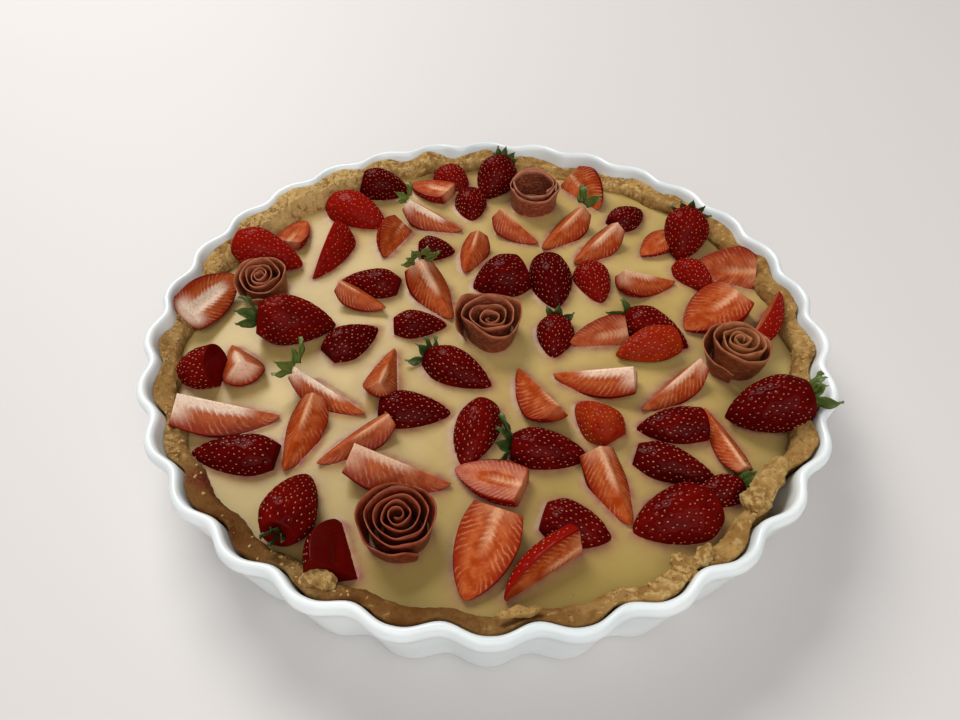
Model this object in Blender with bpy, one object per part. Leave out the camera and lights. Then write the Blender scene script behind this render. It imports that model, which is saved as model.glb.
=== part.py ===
"""Strawberry tart baked in a fluted white flan dish.

The origin is the centre of the dish's foot and +Z is up. Plan angles run anticlockwise from +X,
seen from above, and -Y is the front. Lengths in the tables are millimetres, angles are degrees.
"""

import math
from typing import NamedTuple

import bmesh
import bpy
from mathutils import Matrix, Vector

MM = 0.001
GAP = 0.3                   # air between touching pieces
SIDE_GAP = 0.45             # the same beside a steep wall or where both sides are faceted

# Colours (linear RGB) and roughnesses
DISH_COLOUR = (0.86, 0.89, 0.88)
DISH_ROUGHNESS = 0.12
CRUST_COLOUR = (0.52, 0.33, 0.13)
CRUST_ROUGHNESS = 0.8
CUSTARD_COLOUR = (0.60, 0.47, 0.20)
CUSTARD_ROUGHNESS = 0.35
SKIN_COLOUR = (0.26, 0.01, 0.01)
FLESH_COLOUR = (0.62, 0.14, 0.05)
ROSE_COLOUR = (0.32, 0.12, 0.08)
FRUIT_ROUGHNESS = 0.35

# Dish
FLUTES = 30
FLUTE_START = 6.3           # plan angle of the first flute's outermost line
FLUTE_DEPTH = 4.0           # from the outermost to the innermost line of a flute
STEPS_PER_FLUTE = 4
RIM_RADIUS = 151.8
RIM_HEIGHT = 42.0
FLOOR_HEIGHT = 5.0
# Outline from the middle of the floor, up the inside, over the bead and down to the foot:
# radius at a flute's outermost line, height, and share of the flute depth.
DISH_OUTLINE = (
    (134.5, FLOOR_HEIGHT, 0.75),
    (139.5, 11.0, 1.0),
    (146.9, 37.5, 1.0),
    (147.6, 40.6, 1.0),
    (149.5, RIM_HEIGHT, 1.0),
    (151.2, 40.8, 1.0),
    (RIM_RADIUS, 38.5, 1.0),
    (150.2, 34.8, 1.0),
    (142.5, 1.4, 1.0),
    (140.6, 0.0, 0.95),
)
INNER_WALL_LOW = DISH_OUTLINE[1]
INNER_WALL_HIGH = DISH_OUTLINE[2]

# Pastry case
CREST_HEIGHT = 35.2         # usual height of its top edge
CREST_RADIUS = 138.6        # inside of the top edge
CREST_FLUTE = 0.35          # share of the flute depth there
CREST_LEAN = 0.5            # share of a leaning flake's way in there
CREST_EDGE = 1.4            # how far the rounded edges of the crest fall
CREST_ROUND = 1.5           # width of those rounded edges
CRUST_FLOOR = 10.5          # top of the pastry floor
INNER_FOOT_RADIUS = 132.5   # where the inner side meets the floor
INNER_FOOT_FLUTE = 0.5      # share of the flute depth there
# Where the top edge rises or sinks: plan angle, half width, rise.
CREST_CHANGES = (
    (12, 8, 1.2), (38, 5, 1.0), (47, 6, 0.8), (70, 9, -2.6), (90, 5, 1.2), (99, 2, -2.8),
    (104, 4, 1.8), (110, 2, -1.6), (135, 26, 3.9), (193, 6, 1.0), (209, 5, -1.0),
    (221, 4, 1.6), (246, 4, 1.2), (258, 4, 1.0), (272, 4, -1.4), (284, 5, 1.0), (297, 5, 1.8),
    (309, 4, 1.2), (320, 5, 3.0), (333, 4, 3.0), (345, 5, -1.5), (355, 5, 0.8),
)
# Where a flake of the top edge leans in and bares the dish: plan angle, half width, lean.
FLAKE = (319.5, 5.0, 5.5)

# Custard
CUSTARD_HEIGHT = 30.0
CUSTARD_RADIUS = 140.2      # at a flute's outermost line
CUSTARD_FLUTE = 0.7         # share of the flute depth at its edge
CUSTARD_INSET = (142, 20, 5.0)  # where the pastry slopes in further: angle, half width, depth
CUSTARD_STEPS_PER_FLUTE = 2

# Strawberries
BERRY_SIDES = 10
BERRY_STATIONS = (0.0, 0.12, 0.3, 0.52, 0.74, 0.9, 1.0)
WIDEST = 0.3                # place of the greatest width along the berry
TIP_HEIGHT = 2.0            # of the core at the tip, over the custard
TRIM_GAP = 0.6              # growth of a neighbour before it trims a piece

# Cuts, as the directions that the cut faces look to, seen along the berry from its blunt end:
# 0 is left, 90 is up, 180 is right and 270 is down.
WHOLE = ()
SKIN_UP = (270,)
SKIN_LEFT = (270, 165)
FACE_UP = (90,)
FACE_LEFT = (45,)
FACE_RIGHT = (135,)
RIDGE = (130, 50)
RIDGE_LEFT = (150, 55)
RIDGE_RIGHT = (125, 30)
# Height of the core over the custard at the widest place, as a share of the radius there.
CORE_SHARE = {
    WHOLE: 0.70, SKIN_UP: 0.0, SKIN_LEFT: 0.0, FACE_UP: 0.55, FACE_LEFT: 0.45,
    FACE_RIGHT: 0.45, RIDGE: 0.78, RIDGE_LEFT: 0.78, RIDGE_RIGHT: 0.78,
}


class Berry(NamedTuple):
    """One strawberry or piece of one."""

    name: str
    x: float                # middle of its core on the plan
    y: float
    heading: float          # plan direction of its tip
    length: float
    width: float
    cut: tuple = SKIN_UP
    blunt: float = 0.6      # radius of the cut stem end, as a share of the greatest radius
    lift: float = 0.0       # added height where it lies on the pastry
    on_crust: bool = False  # trimmed where it lies against the pastry
    under: tuple = ()       # nodes that stand on or against it, which it makes room for


BERRIES = (
    Berry("back_left_1", -58, 114, -3, 29, 21, lift=4, on_crust=True),
    Berry("back_left_2", -70, 90, -36, 38, 25),
    Berry("back_left_4", -110, 49, -12, 35, 22, WHOLE, on_crust=True, under=("rose_left",)),
    Berry("back_left_5", -84, 56, -98, 41, 28, SKIN_LEFT),
    Berry("back_1", -28, 83, -25, 34, 23, RIDGE),
    Berry("back_3", -20, 124, -52, 26, 18, FACE_RIGHT, on_crust=True),
    Berry("back_4", 4, 118, -115, 28, 22, WHOLE),
    Berry("back_6", 17, 74, -40, 28, 23, RIDGE_RIGHT),
    Berry("back_7", 40, 73, -133, 35, 22, RIDGE),
    Berry("back_8", 56, 60, -137, 34, 22, RIDGE),
    Berry("back_9", 55, 110, -60, 30, 24, FACE_RIGHT),
    Berry("back_right_2", 103, 66, -110, 30, 23, WHOLE),
    Berry("back_right_4", 118, 41, 165, 31, 25, FACE_LEFT, on_crust=True),
    Berry("left_1", -128, 15, 67, 33, 25, RIDGE, blunt=0.9, lift=5, on_crust=True, under=("rose_left",)),
    Berry("left_2", -87, -1, 8, 35, 23, WHOLE),
    Berry("left_3", -58, 32, 172, 30, 19),
    Berry("left_5", -61, -8, 42, 28, 19),
    Berry("left_7", -126, -29, 178, 22, 20, SKIN_UP, blunt=0.95, lift=4, on_crust=True),
    Berry("left_8", -66, -42, -30, 37, 20, RIDGE_RIGHT),
    Berry("left_9", -75, -64, -103, 34, 22, RIDGE),
    Berry("left_10", -105, -53, 0, 41, 29, RIDGE_RIGHT, blunt=0.9, on_crust=True),
    Berry("middle_2", -25, 22, -62, 36, 25, RIDGE, blunt=0.8),
    Berry("middle_3", -31, 3, 4, 25, 17),
    Berry("middle_4", 5, 35, 205, 26, 27, SKIN_UP, blunt=0.85),
    Berry("middle_5", 32, 32, -86, 33, 23, SKIN_UP, blunt=0.8),
    Berry("middle_7", 31, -5, -98, 25, 18),
    Berry("middle_8", 51, -6, 190, 27, 18, FACE_LEFT, blunt=0.85),
    Berry("middle_9", -12, -26, -32, 33, 20),
    Berry("middle_10", -30, -49, -3, 30, 18),
    Berry("middle_11", 21, -40, 115, 36, 26, RIDGE_LEFT),
    Berry("middle_12", 45, -31, 170, 35, 25, RIDGE_LEFT, blunt=0.9),
    Berry("right_1", 80, 33, 8, 29, 23, RIDGE_RIGHT, blunt=0.85),
    Berry("right_3", 105, 10, -145, 34, 26, FACE_UP, blunt=0.8),
    Berry("right_4", 130, 7, 57, 38, 20, FACE_LEFT, lift=4, on_crust=True, under=("rose_right",)),
    Berry("right_5", 79, 0, -38, 32, 21),
    Berry("right_7", 78, -37, -142, 36, 21, RIDGE_LEFT),
    Berry("right_8", 114, -51, 187, 35, 24, WHOLE, lift=2, on_crust=True),
    Berry("front_left_1", -100, -72, 176, 35, 19),
    Berry("front_left_2", -71, -97, 82, 31, 20, WHOLE),
    Berry("front_left_3", -53, -113, 100, 24, 25, FACE_RIGHT, on_crust=True),
    Berry("front_left_4", -53, -67, -145, 34, 18, RIDGE),
    Berry("front_left_5", -32, -81, -14, 40, 28, RIDGE_RIGHT, blunt=0.85),
    Berry("front_1", -5, -61, -105, 33, 19),
    Berry("front_2", 0, -83, 158, 28, 19, FACE_UP, blunt=0.9),
    Berry("front_3", 25, -69, -8, 31, 20),
    Berry("front_4", 48, -88, -72, 32, 21, RIDGE, blunt=0.95),
    Berry("front_6", 18, -122, 215, 32, 20, FACE_LEFT, blunt=0.9),
    Berry("front_7", -2, -116, -110, 35, 24, FACE_UP, blunt=0.8),
    Berry("front_right_1", 75, -56, 185, 28, 18, SKIN_UP, blunt=0.9),
    Berry("front_right_2", 95, -63, 103, 35, 15, RIDGE),
    Berry("front_right_3", 74, -76, -22, 33, 17),
    Berry("front_right_4", 69, -99, 200, 34, 24),
)


class Rose(NamedTuple):
    """A rose rolled from a thin ribbon of fruit."""

    name: str
    x: float
    y: float
    radius: float
    height: float
    turn: float             # plan direction of the ribbon's outer end
    hollow: float           # depth of the middle, as a share of the height


ROSES = (
    Rose("back", 25, 103, 13.5, 17, 20, 0.75),
    Rose("left", -107, 28, 14, 14, 300, 0.30),
    Rose("right", 110, -19, 15.5, 16, 330, 0.25),
    Rose("middle", 1, -2, 16.5, 16, 60, 0.45),
    Rose("front", -32, -105, 15.5, 14, 40, 0.35),
)
ROSE_SIDES = 14
# Outline from the foot to the middle: share of the radius, share of the height, share of hollow.
ROSE_OUTLINE = (
    (0.84, 0.0, 0.0), (1.0, 0.35, 0.0), (0.96, 0.82, 0.0), (0.86, 0.86, 0.0), (0.70, 0.55, 0.4),
    (0.62, 1.0, 0.0), (0.50, 1.0, 0.1), (0.30, 1.0, 1.0),
)
ROSE_SPIRAL = 0.13          # how far the ribbon's outer end stands off, as a share of the radius


def bump(angle, centre, half_width):
    """Smooth swell that is 1 at the centre angle and fades over the half width, in degrees."""
    away = (angle - centre + 180.0) % 360.0 - 180.0
    return math.exp(-((away / half_width) ** 2))


def flute_inset(angle):
    """Distance inwards from the flutes' outermost line at a plan angle in degrees."""
    phase = 0.5 - 0.5 * math.cos(math.radians(FLUTES * (angle - FLUTE_START)))
    return FLUTE_DEPTH * phase ** 1.3


def inner_wall_radius(height):
    """Radius of the dish's inner wall at a height, at a flute's outermost line."""
    low_radius, low_height, _ = INNER_WALL_LOW
    high_radius, high_height, _ = INNER_WALL_HIGH
    share = (height - low_height) / (high_height - low_height)
    return low_radius + share * (high_radius - low_radius)


def new_object(name, bm, colour, roughness):
    """Make a named object with its own material from a finished bmesh."""
    bmesh.ops.recalc_face_normals(bm, faces=bm.faces)
    mesh = bpy.data.meshes.new(name)
    bm.to_mesh(mesh)
    bm.free()
    obj = bpy.data.objects.new(name, mesh)
    bpy.context.scene.collection.objects.link(obj)
    material = bpy.data.materials.new(name)
    material.use_nodes = True
    shader = material.node_tree.nodes["Principled BSDF"]
    shader.inputs["Base Color"].default_value = (*colour, 1.0)
    shader.inputs["Roughness"].default_value = roughness
    mesh.materials.append(material)
    return obj


def loft(rings, steps, start):
    """Join a stack of rings into one closed body.

    Each ring is a function that gives radius and height, in millimetres, at a plan angle.
    """
    bm = bmesh.new()
    angles = [start + 360.0 * step / steps for step in range(steps)]
    loops = []
    for ring in rings:
        loop = []
        for angle in angles:
            radius, height = ring(angle % 360.0)
            turn = math.radians(angle)
            place = Vector((radius * math.cos(turn), radius * math.sin(turn), height))
            loop.append(bm.verts.new(place * MM))
        loops.append(loop)
    for lower, upper in zip(loops, loops[1:]):
        for step in range(steps):
            after = (step + 1) % steps
            bm.faces.new((lower[step], lower[after], upper[after], upper[step]))
    bm.faces.new(loops[0])
    bm.faces.new(loops[-1])
    return bm


def dish_ring(point):
    """Ring of the dish through one point of its outline."""
    radius, height, share = point
    return lambda angle: (radius - share * flute_inset(angle), height)


def make_dish():
    """The fluted dish: floor, wall, rounded bead and foot in one piece."""
    rings = [dish_ring(point) for point in DISH_OUTLINE]
    bm = loft(rings, FLUTES * STEPS_PER_FLUTE, FLUTE_START)
    new_object("dish", bm, DISH_COLOUR, DISH_ROUGHNESS)


def crest_height(angle):
    """Height of the pastry's top edge at a plan angle."""
    return CREST_HEIGHT + sum(rise * bump(angle, at, width) for at, width, rise in CREST_CHANGES)


def flake_lean(angle):
    """How far the top edge leans in at a plan angle."""
    at, width, lean = FLAKE
    return lean * bump(angle, at, width)


def custard_edge(angle):
    """Radius of the custard's top edge at a plan angle, where it meets the pastry."""
    at, width, depth = CUSTARD_INSET
    return CUSTARD_RADIUS - CUSTARD_FLUTE * flute_inset(angle) - depth * bump(angle, at, width)


def inner_foot(angle):
    """Radius of the line where the pastry's inner side meets its floor."""
    return INNER_FOOT_RADIUS - INNER_FOOT_FLUTE * flute_inset(angle)


def crest_line(angle):
    """Radius of the inside of the pastry's top edge."""
    return CREST_RADIUS - CREST_FLUTE * flute_inset(angle) - CREST_LEAN * flake_lean(angle)


def crust_rings(grow=0.0):
    """Rings of the pastry case, from under its floor, over its crest, to its floor inside.

    With grow, every side but the bottom stands out that far, which makes a trimming body.
    """
    def outer(angle, height, inset):
        wall = inner_wall_radius(height) - GAP - flute_inset(angle)
        return wall - inset + grow

    def outer_foot(angle):
        radius, height, _ = INNER_WALL_LOW
        return radius - SIDE_GAP - flute_inset(angle) + grow, height + GAP

    def under_floor(angle):
        radius, height, share = DISH_OUTLINE[0]
        return radius - GAP - share * flute_inset(angle), height + GAP

    def outer_edge(angle):
        height = crest_height(angle) - CREST_EDGE
        return outer(angle, height, flake_lean(angle)), height + grow

    def crest_outside(angle):
        height = crest_height(angle)
        return outer(angle, height, CREST_ROUND + flake_lean(angle)), height + grow

    def crest_inside(angle):
        return crest_line(angle) + CREST_ROUND - grow, crest_height(angle) + grow

    def inner_edge(angle):
        return crest_line(angle) - grow, crest_height(angle) - CREST_EDGE + grow

    def custard_line(angle):
        return custard_edge(angle) - grow, CUSTARD_HEIGHT

    def floor_edge(angle):
        return inner_foot(angle) - grow, CRUST_FLOOR + grow

    return (under_floor, outer_foot, outer_edge, crest_outside, crest_inside, inner_edge,
            custard_line, floor_edge)


def make_crust():
    """The pastry case, which follows the flutes outside and stands proud of the custard."""
    bm = loft(crust_rings(), FLUTES * STEPS_PER_FLUTE, FLUTE_START)
    new_object("crust", bm, CRUST_COLOUR, CRUST_ROUGHNESS)


def make_custard():
    """The set custard, level on top, filling the pastry case."""
    def top(angle):
        return custard_edge(angle) - SIDE_GAP, CUSTARD_HEIGHT

    def bottom(angle):
        return inner_foot(angle) - SIDE_GAP, CRUST_FLOOR + GAP

    bm = loft((bottom, top), FLUTES * CUSTARD_STEPS_PER_FLUTE, FLUTE_START)
    new_object("custard", bm, CUSTARD_COLOUR, CUSTARD_ROUGHNESS)


def berry_radius(berry, share):
    """Radius of a strawberry at a share of its length, from the stem end to the tip."""
    if share < WIDEST:
        swell = math.sin(0.5 * math.pi * share / WIDEST)
        fraction = berry.blunt + (1.0 - berry.blunt) * swell
    else:
        fraction = (1.0 - ((share - WIDEST) / (1.0 - WIDEST)) ** 1.7) ** 0.72
    return 0.5 * berry.width * fraction


def slice_off(bm, point, normal):
    """Cut away what lies past a plane, and close the cut."""
    geometry = list(bm.verts) + list(bm.edges) + list(bm.faces)
    result = bmesh.ops.bisect_plane(
        bm, geom=geometry, dist=0.01 * MM, plane_co=point, plane_no=normal, clear_outer=True)
    rim = [item for item in result["geom_cut"] if isinstance(item, bmesh.types.BMEdge)]
    if rim:
        bmesh.ops.edgeloop_fill(bm, edges=rim)


def berry_pose(berry):
    """Matrix that lays a strawberry down, tip lowered so that it rests on the custard."""
    radius = 0.5 * berry.width
    core = CORE_SHARE[berry.cut] * radius
    drop = max(core - TIP_HEIGHT, 0.0) / ((1.0 - WIDEST) * berry.length)
    middle = core - (0.5 - WIDEST) * berry.length * drop + berry.lift
    place = Vector((berry.x, berry.y, CUSTARD_HEIGHT + GAP + middle)) * MM
    turn = Matrix.Rotation(math.radians(berry.heading), 4, "Z")
    return Matrix.Translation(place) @ turn @ Matrix.Rotation(math.asin(drop), 4, "Y")


def berry_body(berry):
    """Closed body of a strawberry: turned about its core, cut, laid down and bedded flat."""
    bm = bmesh.new()
    profile = []
    for share in BERRY_STATIONS:
        along = berry.length * (share - 0.5)
        profile.append(bm.verts.new(Vector((along, 0.0, berry_radius(berry, share))) * MM))
    edges = [bm.edges.new(pair) for pair in zip(profile, profile[1:])]
    bmesh.ops.spin(bm, geom=profile + edges, cent=(0, 0, 0), axis=(1, 0, 0), dvec=(0, 0, 0),
                   angle=math.tau, steps=BERRY_SIDES, use_merge=True)
    bmesh.ops.remove_doubles(bm, verts=bm.verts, dist=0.01 * MM)
    rim = [edge for edge in bm.edges if edge.is_boundary]
    bmesh.ops.edgeloop_fill(bm, edges=rim)
    for look in berry.cut:
        turn = math.radians(look)
        slice_off(bm, (0, 0, 0), (0, math.cos(turn), math.sin(turn)))
    bmesh.ops.transform(bm, matrix=berry_pose(berry), verts=bm.verts)
    slice_off(bm, (0, 0, (CUSTARD_HEIGHT + GAP) * MM), (0, 0, -1))
    return bm


def cutter(name, bm):
    """A hidden body that only trims its neighbours."""
    obj = new_object(name, bm, (0.5, 0.5, 0.5), 0.5)
    obj.hide_render = True
    obj.display_type = "WIRE"
    return obj


def grown_copy(obj, name):
    """Trimming body: a copy of an object that stands out a little on every side."""
    bm = bmesh.new()
    bm.from_mesh(obj.data)
    bm.normal_update()
    for vert in bm.verts:
        vert.co += vert.normal * TRIM_GAP * MM
    return cutter(name, bm)


def trim(obj, tool):
    """Cut an object back where a trimming body stands."""
    modifier = obj.modifiers.new("trim", "BOOLEAN")
    modifier.operation = "DIFFERENCE"
    modifier.solver = "EXACT"
    modifier.object = tool


def make_berries():
    """Every strawberry piece, trimmed where a rose or the pastry meets it."""
    crust_tool = cutter("trimmer_crust", loft(crust_rings(SIDE_GAP), FLUTES * STEPS_PER_FLUTE,
                                              FLUTE_START))
    for berry in BERRIES:
        colour = SKIN_COLOUR if berry.cut in (WHOLE, SKIN_UP, SKIN_LEFT) else FLESH_COLOUR
        obj = new_object("berry_" + berry.name, berry_body(berry), colour, FRUIT_ROUGHNESS)
        for neighbour in berry.under:
            tool = grown_copy(bpy.data.objects[neighbour], "trimmer_" + berry.name)
            trim(obj, tool)
        if berry.on_crust:
            trim(obj, crust_tool)


def rose_ring(rose, point):
    """Ring of a rose through one point of its outline, spiralling out towards the ribbon's end."""
    share, rise, hollow = point

    def ring(angle):
        spiral = ROSE_SPIRAL * (((angle - rose.turn) % 360.0) / 360.0 - 0.5)
        radius = rose.radius * share * (1.0 + spiral)
        height = rose.height * (rise - hollow * rose.hollow)
        return radius, height
    return ring


def make_rose(rose):
    """A rolled rose: a low cup with an inner roll and a sunken middle."""
    rings = [rose_ring(rose, point) for point in ROSE_OUTLINE]
    bm = loft(rings, ROSE_SIDES, rose.turn)
    place = Vector((rose.x, rose.y, CUSTARD_HEIGHT + GAP)) * MM
    bmesh.ops.translate(bm, vec=place, verts=bm.verts)
    new_object("rose_" + rose.name, bm, ROSE_COLOUR, FRUIT_ROUGHNESS)


def main():
    """Build the whole tart."""
    for obj in list(bpy.data.objects):
        bpy.data.objects.remove(obj, do_unlink=True)
    make_dish()
    make_crust()
    make_custard()
    for rose in ROSES:
        make_rose(rose)
    make_berries()


main()
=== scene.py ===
"""Finished surfaces of a strawberry tart baked in a fluted white flan dish.

Every piece is modelled in metres in the tart's own frame: +Z is up, -Y is the front, and the
origin is the middle of the dish's foot. Sizes in the tables are millimetres, angles are degrees,
and plan angles run anticlockwise from +X.
"""

from __future__ import annotations

import logging
import math
import random
from dataclasses import dataclass, field
from enum import Enum
from typing import Callable, Iterable, Sequence

import bmesh
import bpy
from mathutils import Matrix, Vector, kdtree, noise

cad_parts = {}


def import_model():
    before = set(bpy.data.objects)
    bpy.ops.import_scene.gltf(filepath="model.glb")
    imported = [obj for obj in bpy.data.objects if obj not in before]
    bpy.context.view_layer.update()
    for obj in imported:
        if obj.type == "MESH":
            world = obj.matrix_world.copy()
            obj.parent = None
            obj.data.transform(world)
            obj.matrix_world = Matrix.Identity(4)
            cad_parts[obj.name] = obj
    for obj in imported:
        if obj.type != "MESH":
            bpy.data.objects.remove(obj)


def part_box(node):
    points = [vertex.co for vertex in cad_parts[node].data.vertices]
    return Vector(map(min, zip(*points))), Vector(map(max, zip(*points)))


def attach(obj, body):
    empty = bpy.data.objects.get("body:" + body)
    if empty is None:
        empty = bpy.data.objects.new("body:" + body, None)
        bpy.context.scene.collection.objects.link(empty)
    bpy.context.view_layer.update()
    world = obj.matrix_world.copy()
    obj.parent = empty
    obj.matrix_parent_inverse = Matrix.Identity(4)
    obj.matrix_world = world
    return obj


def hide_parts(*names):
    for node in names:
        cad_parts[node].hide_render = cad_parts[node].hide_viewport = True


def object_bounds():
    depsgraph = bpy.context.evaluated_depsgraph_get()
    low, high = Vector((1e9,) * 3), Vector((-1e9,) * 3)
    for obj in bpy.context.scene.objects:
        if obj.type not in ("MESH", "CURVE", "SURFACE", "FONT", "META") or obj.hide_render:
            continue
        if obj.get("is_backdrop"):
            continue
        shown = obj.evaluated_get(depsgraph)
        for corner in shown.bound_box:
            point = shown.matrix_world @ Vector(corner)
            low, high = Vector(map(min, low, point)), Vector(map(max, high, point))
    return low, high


MM = 0.001
BODY = "root"
GOLDEN_ANGLE = math.radians(137.508)
LOG = logging.getLogger("tart")

Colour = tuple[float, float, float]
Socket = bpy.types.NodeSocket


# ---------------------------------------------------------------- shaping helpers


def swell(angle: float, centre: float, half_width: float) -> float:
    """Smooth rise that is 1 at the centre angle and fades over the half width, in degrees."""
    away = (angle - centre + 180.0) % 360.0 - 180.0
    return math.exp(-((away / half_width) ** 2))


def smoothstep(low: float, high: float, value: float) -> float:
    """Smooth step from 0 at low to 1 at high."""
    share = min(max((value - low) / (high - low), 0.0), 1.0)
    return share * share * (3.0 - 2.0 * share)


def rough(point: Vector, size: float, octaves: int = 3) -> float:
    """Fractal unevenness between about -1 and 1.

    Args:
        point: Place in metres.
        size: Size of the largest bumps, in millimetres.
        octaves: How many times finer bumps are added.

    Returns:
        The unevenness there.
    """
    return noise.fractal(point / (size * MM), 1.0, 2.0, octaves)


def loft_rings(
    bm: bmesh.types.BMesh,
    rings: Sequence[Callable[[float], tuple[float, float]]],
    steps: int,
    close_ends: bool,
) -> list[list[bmesh.types.BMVert]]:
    """Carry a circle through a stack of rings, extruding it from each to the next.

    Args:
        bm: Mesh to build in.
        rings: Functions that give radius and height in millimetres at a plan angle.
        steps: Number of points round each ring.
        close_ends: Whether the first and last ring get a lid.

    Returns:
        The points of each ring, in order round it.
    """
    made: list[list[bmesh.types.BMVert]] = []
    circle = bmesh.ops.create_circle(bm, segments=steps, radius=1.0, cap_ends=False)["verts"]
    edges = list({edge for vert in circle for edge in vert.link_edges})
    if close_ends:
        bmesh.ops.edgeloop_fill(bm, edges=edges)
    verts = list(circle)
    for index, ring in enumerate(rings):
        if index:
            grown = bmesh.ops.extrude_edge_only(bm, edges=edges)["geom"]
            edges = [item for item in grown if isinstance(item, bmesh.types.BMEdge)]
            members = {item for item in grown if isinstance(item, bmesh.types.BMVert)}
            partners = []
            for vert in verts:
                partners.append(next(edge.other_vert(vert) for edge in vert.link_edges
                                     if edge.other_vert(vert) in members))
            verts = partners
            edges = [edge for edge in edges if members.issuperset(edge.verts)]
        for step, vert in enumerate(verts):
            angle = 360.0 * step / steps
            radius, height = ring(angle)
            turn = math.radians(angle)
            vert.co = Vector((radius * math.cos(turn), radius * math.sin(turn), height)) * MM
        made.append(list(verts))
    if close_ends:
        bmesh.ops.edgeloop_fill(bm, edges=edges)
    bmesh.ops.recalc_face_normals(bm, faces=bm.faces)
    return made


def finish_piece(
    name: str,
    bm: bmesh.types.BMesh,
    materials: Sequence[bpy.types.Material],
    nodes: Iterable[str] = (),
) -> bpy.types.Object:
    """Turn a finished bmesh into a smooth-shaded piece that rides on the tart.

    Args:
        name: Name of the piece.
        bm: The mesh, which is freed.
        materials: Materials, in the order of the faces' indices.
        nodes: Solid nodes that the piece stands for.

    Returns:
        The piece.
    """
    for face in bm.faces:
        face.smooth = True
    mesh = bpy.data.meshes.new(name)
    bm.to_mesh(mesh)
    bm.free()
    piece = bpy.data.objects.new(name, mesh)
    bpy.context.scene.collection.objects.link(piece)
    for material in materials:
        mesh.materials.append(material)
    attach(piece, BODY)
    if nodes:
        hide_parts(*nodes)
    return piece


def float_layer(bm: bmesh.types.BMesh, name: str) -> bmesh.types.BMLayerItem:
    """The named per-point number of a mesh, made if it isn't there."""
    layers = bm.verts.layers.float
    return layers.get(name) or layers.new(name)


def vector_layer(bm: bmesh.types.BMesh, name: str) -> bmesh.types.BMLayerItem:
    """The named per-point vector of a mesh, made if it isn't there."""
    layers = bm.verts.layers.float_vector
    return layers.get(name) or layers.new(name)


# ---------------------------------------------------------------- finishes


class NodeBench:
    """Lays out one procedural material, node by node."""

    def __init__(self, name: str) -> None:
        """Start a material with an empty tree and its output."""
        self.material = bpy.data.materials.new(name)
        self.material.use_nodes = True
        self.tree = self.material.node_tree
        self.shader = self.tree.nodes["Principled BSDF"]

    def node(self, kind: str, **settings: object) -> bpy.types.Node:
        """Add a node and set its properties."""
        made = self.tree.nodes.new(kind)
        for key, value in settings.items():
            setattr(made, key, value)
        return made

    def feed(self, target: Socket, source: Socket | float | Sequence[float]) -> None:
        """Link a socket to another, or set its value."""
        if isinstance(source, bpy.types.NodeSocket):
            self.tree.links.new(source, target)
        else:
            target.default_value = source

    def value(self, operation: str, *sources: Socket | float) -> Socket:
        """Result of a Math node."""
        made = self.node("ShaderNodeMath", operation=operation)
        for target, source in zip(made.inputs, sources):
            self.feed(target, source)
        return made.outputs[0]

    def span(self, source: Socket, low: float, high: float,
             first: float = 0.0, last: float = 1.0) -> Socket:
        """Smoothly clamped change of range."""
        made = self.node("ShaderNodeMapRange", interpolation_type="SMOOTHSTEP")
        for target, given in zip(made.inputs, (source, low, high, first, last)):
            self.feed(target, given)
        return made.outputs[0]

    def blend(self, factor: Socket | float, first: Socket | Colour,
              second: Socket | Colour) -> Socket:
        """Mix of two colours."""
        made = self.node("ShaderNodeMix", data_type="RGBA")
        self.feed(made.inputs[0], factor)
        for target, given in ((made.inputs[6], first), (made.inputs[7], second)):
            plain = given if isinstance(given, bpy.types.NodeSocket) else (*given, 1.0)
            self.feed(target, plain)
        return made.outputs[2]

    def attribute(self, name: str) -> bpy.types.Node:
        """Attribute of the piece's own mesh."""
        return self.node("ShaderNodeAttribute", attribute_name=name)

    def place(self) -> Socket:
        """Object coordinates."""
        return self.node("ShaderNodeTexCoord").outputs["Object"]

    def grain(self, vector: Socket, size: float, detail: float = 3.0,
              roughness: float = 0.55, distortion: float = 0.0) -> Socket:
        """Fractal noise whose largest spots have a size in millimetres."""
        made = self.node("ShaderNodeTexNoise")
        self.feed(made.inputs["Vector"], vector)
        made.inputs["Scale"].default_value = 1.0 / (size * MM)
        made.inputs["Detail"].default_value = detail
        made.inputs["Roughness"].default_value = roughness
        made.inputs["Distortion"].default_value = distortion
        return made.outputs[0]

    def cells(self, vector: Socket, size: float, feature: str = "F1") -> Socket:
        """Distance in a field of cells whose spacing is in millimetres."""
        made = self.node("ShaderNodeTexVoronoi", feature=feature)
        self.feed(made.inputs["Vector"], vector)
        made.inputs["Scale"].default_value = 1.0 / (size * MM)
        return made.outputs["Distance"]

    def relief(self, height: Socket, depth: float, strength: float = 1.0) -> None:
        """Give the shader fine relief whose depth is in millimetres."""
        made = self.node("ShaderNodeBump")
        made.inputs["Strength"].default_value = strength
        made.inputs["Distance"].default_value = depth * MM
        self.feed(made.inputs["Height"], height)
        self.feed(self.shader.inputs["Normal"], made.outputs[0])

    def gloss(self, roughness: float, coat: float = 0.0, coat_roughness: float = 0.05,
              specular: float = 0.5) -> None:
        """Set the shader's even gloss."""
        self.shader.inputs["Roughness"].default_value = roughness
        self.shader.inputs["Coat Weight"].default_value = coat
        self.shader.inputs["Coat Roughness"].default_value = coat_roughness
        self.shader.inputs["Specular IOR Level"].default_value = specular

    def colour(self, source: Socket) -> None:
        """Link the shader's base colour."""
        self.feed(self.shader.inputs["Base Color"], source)


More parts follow.
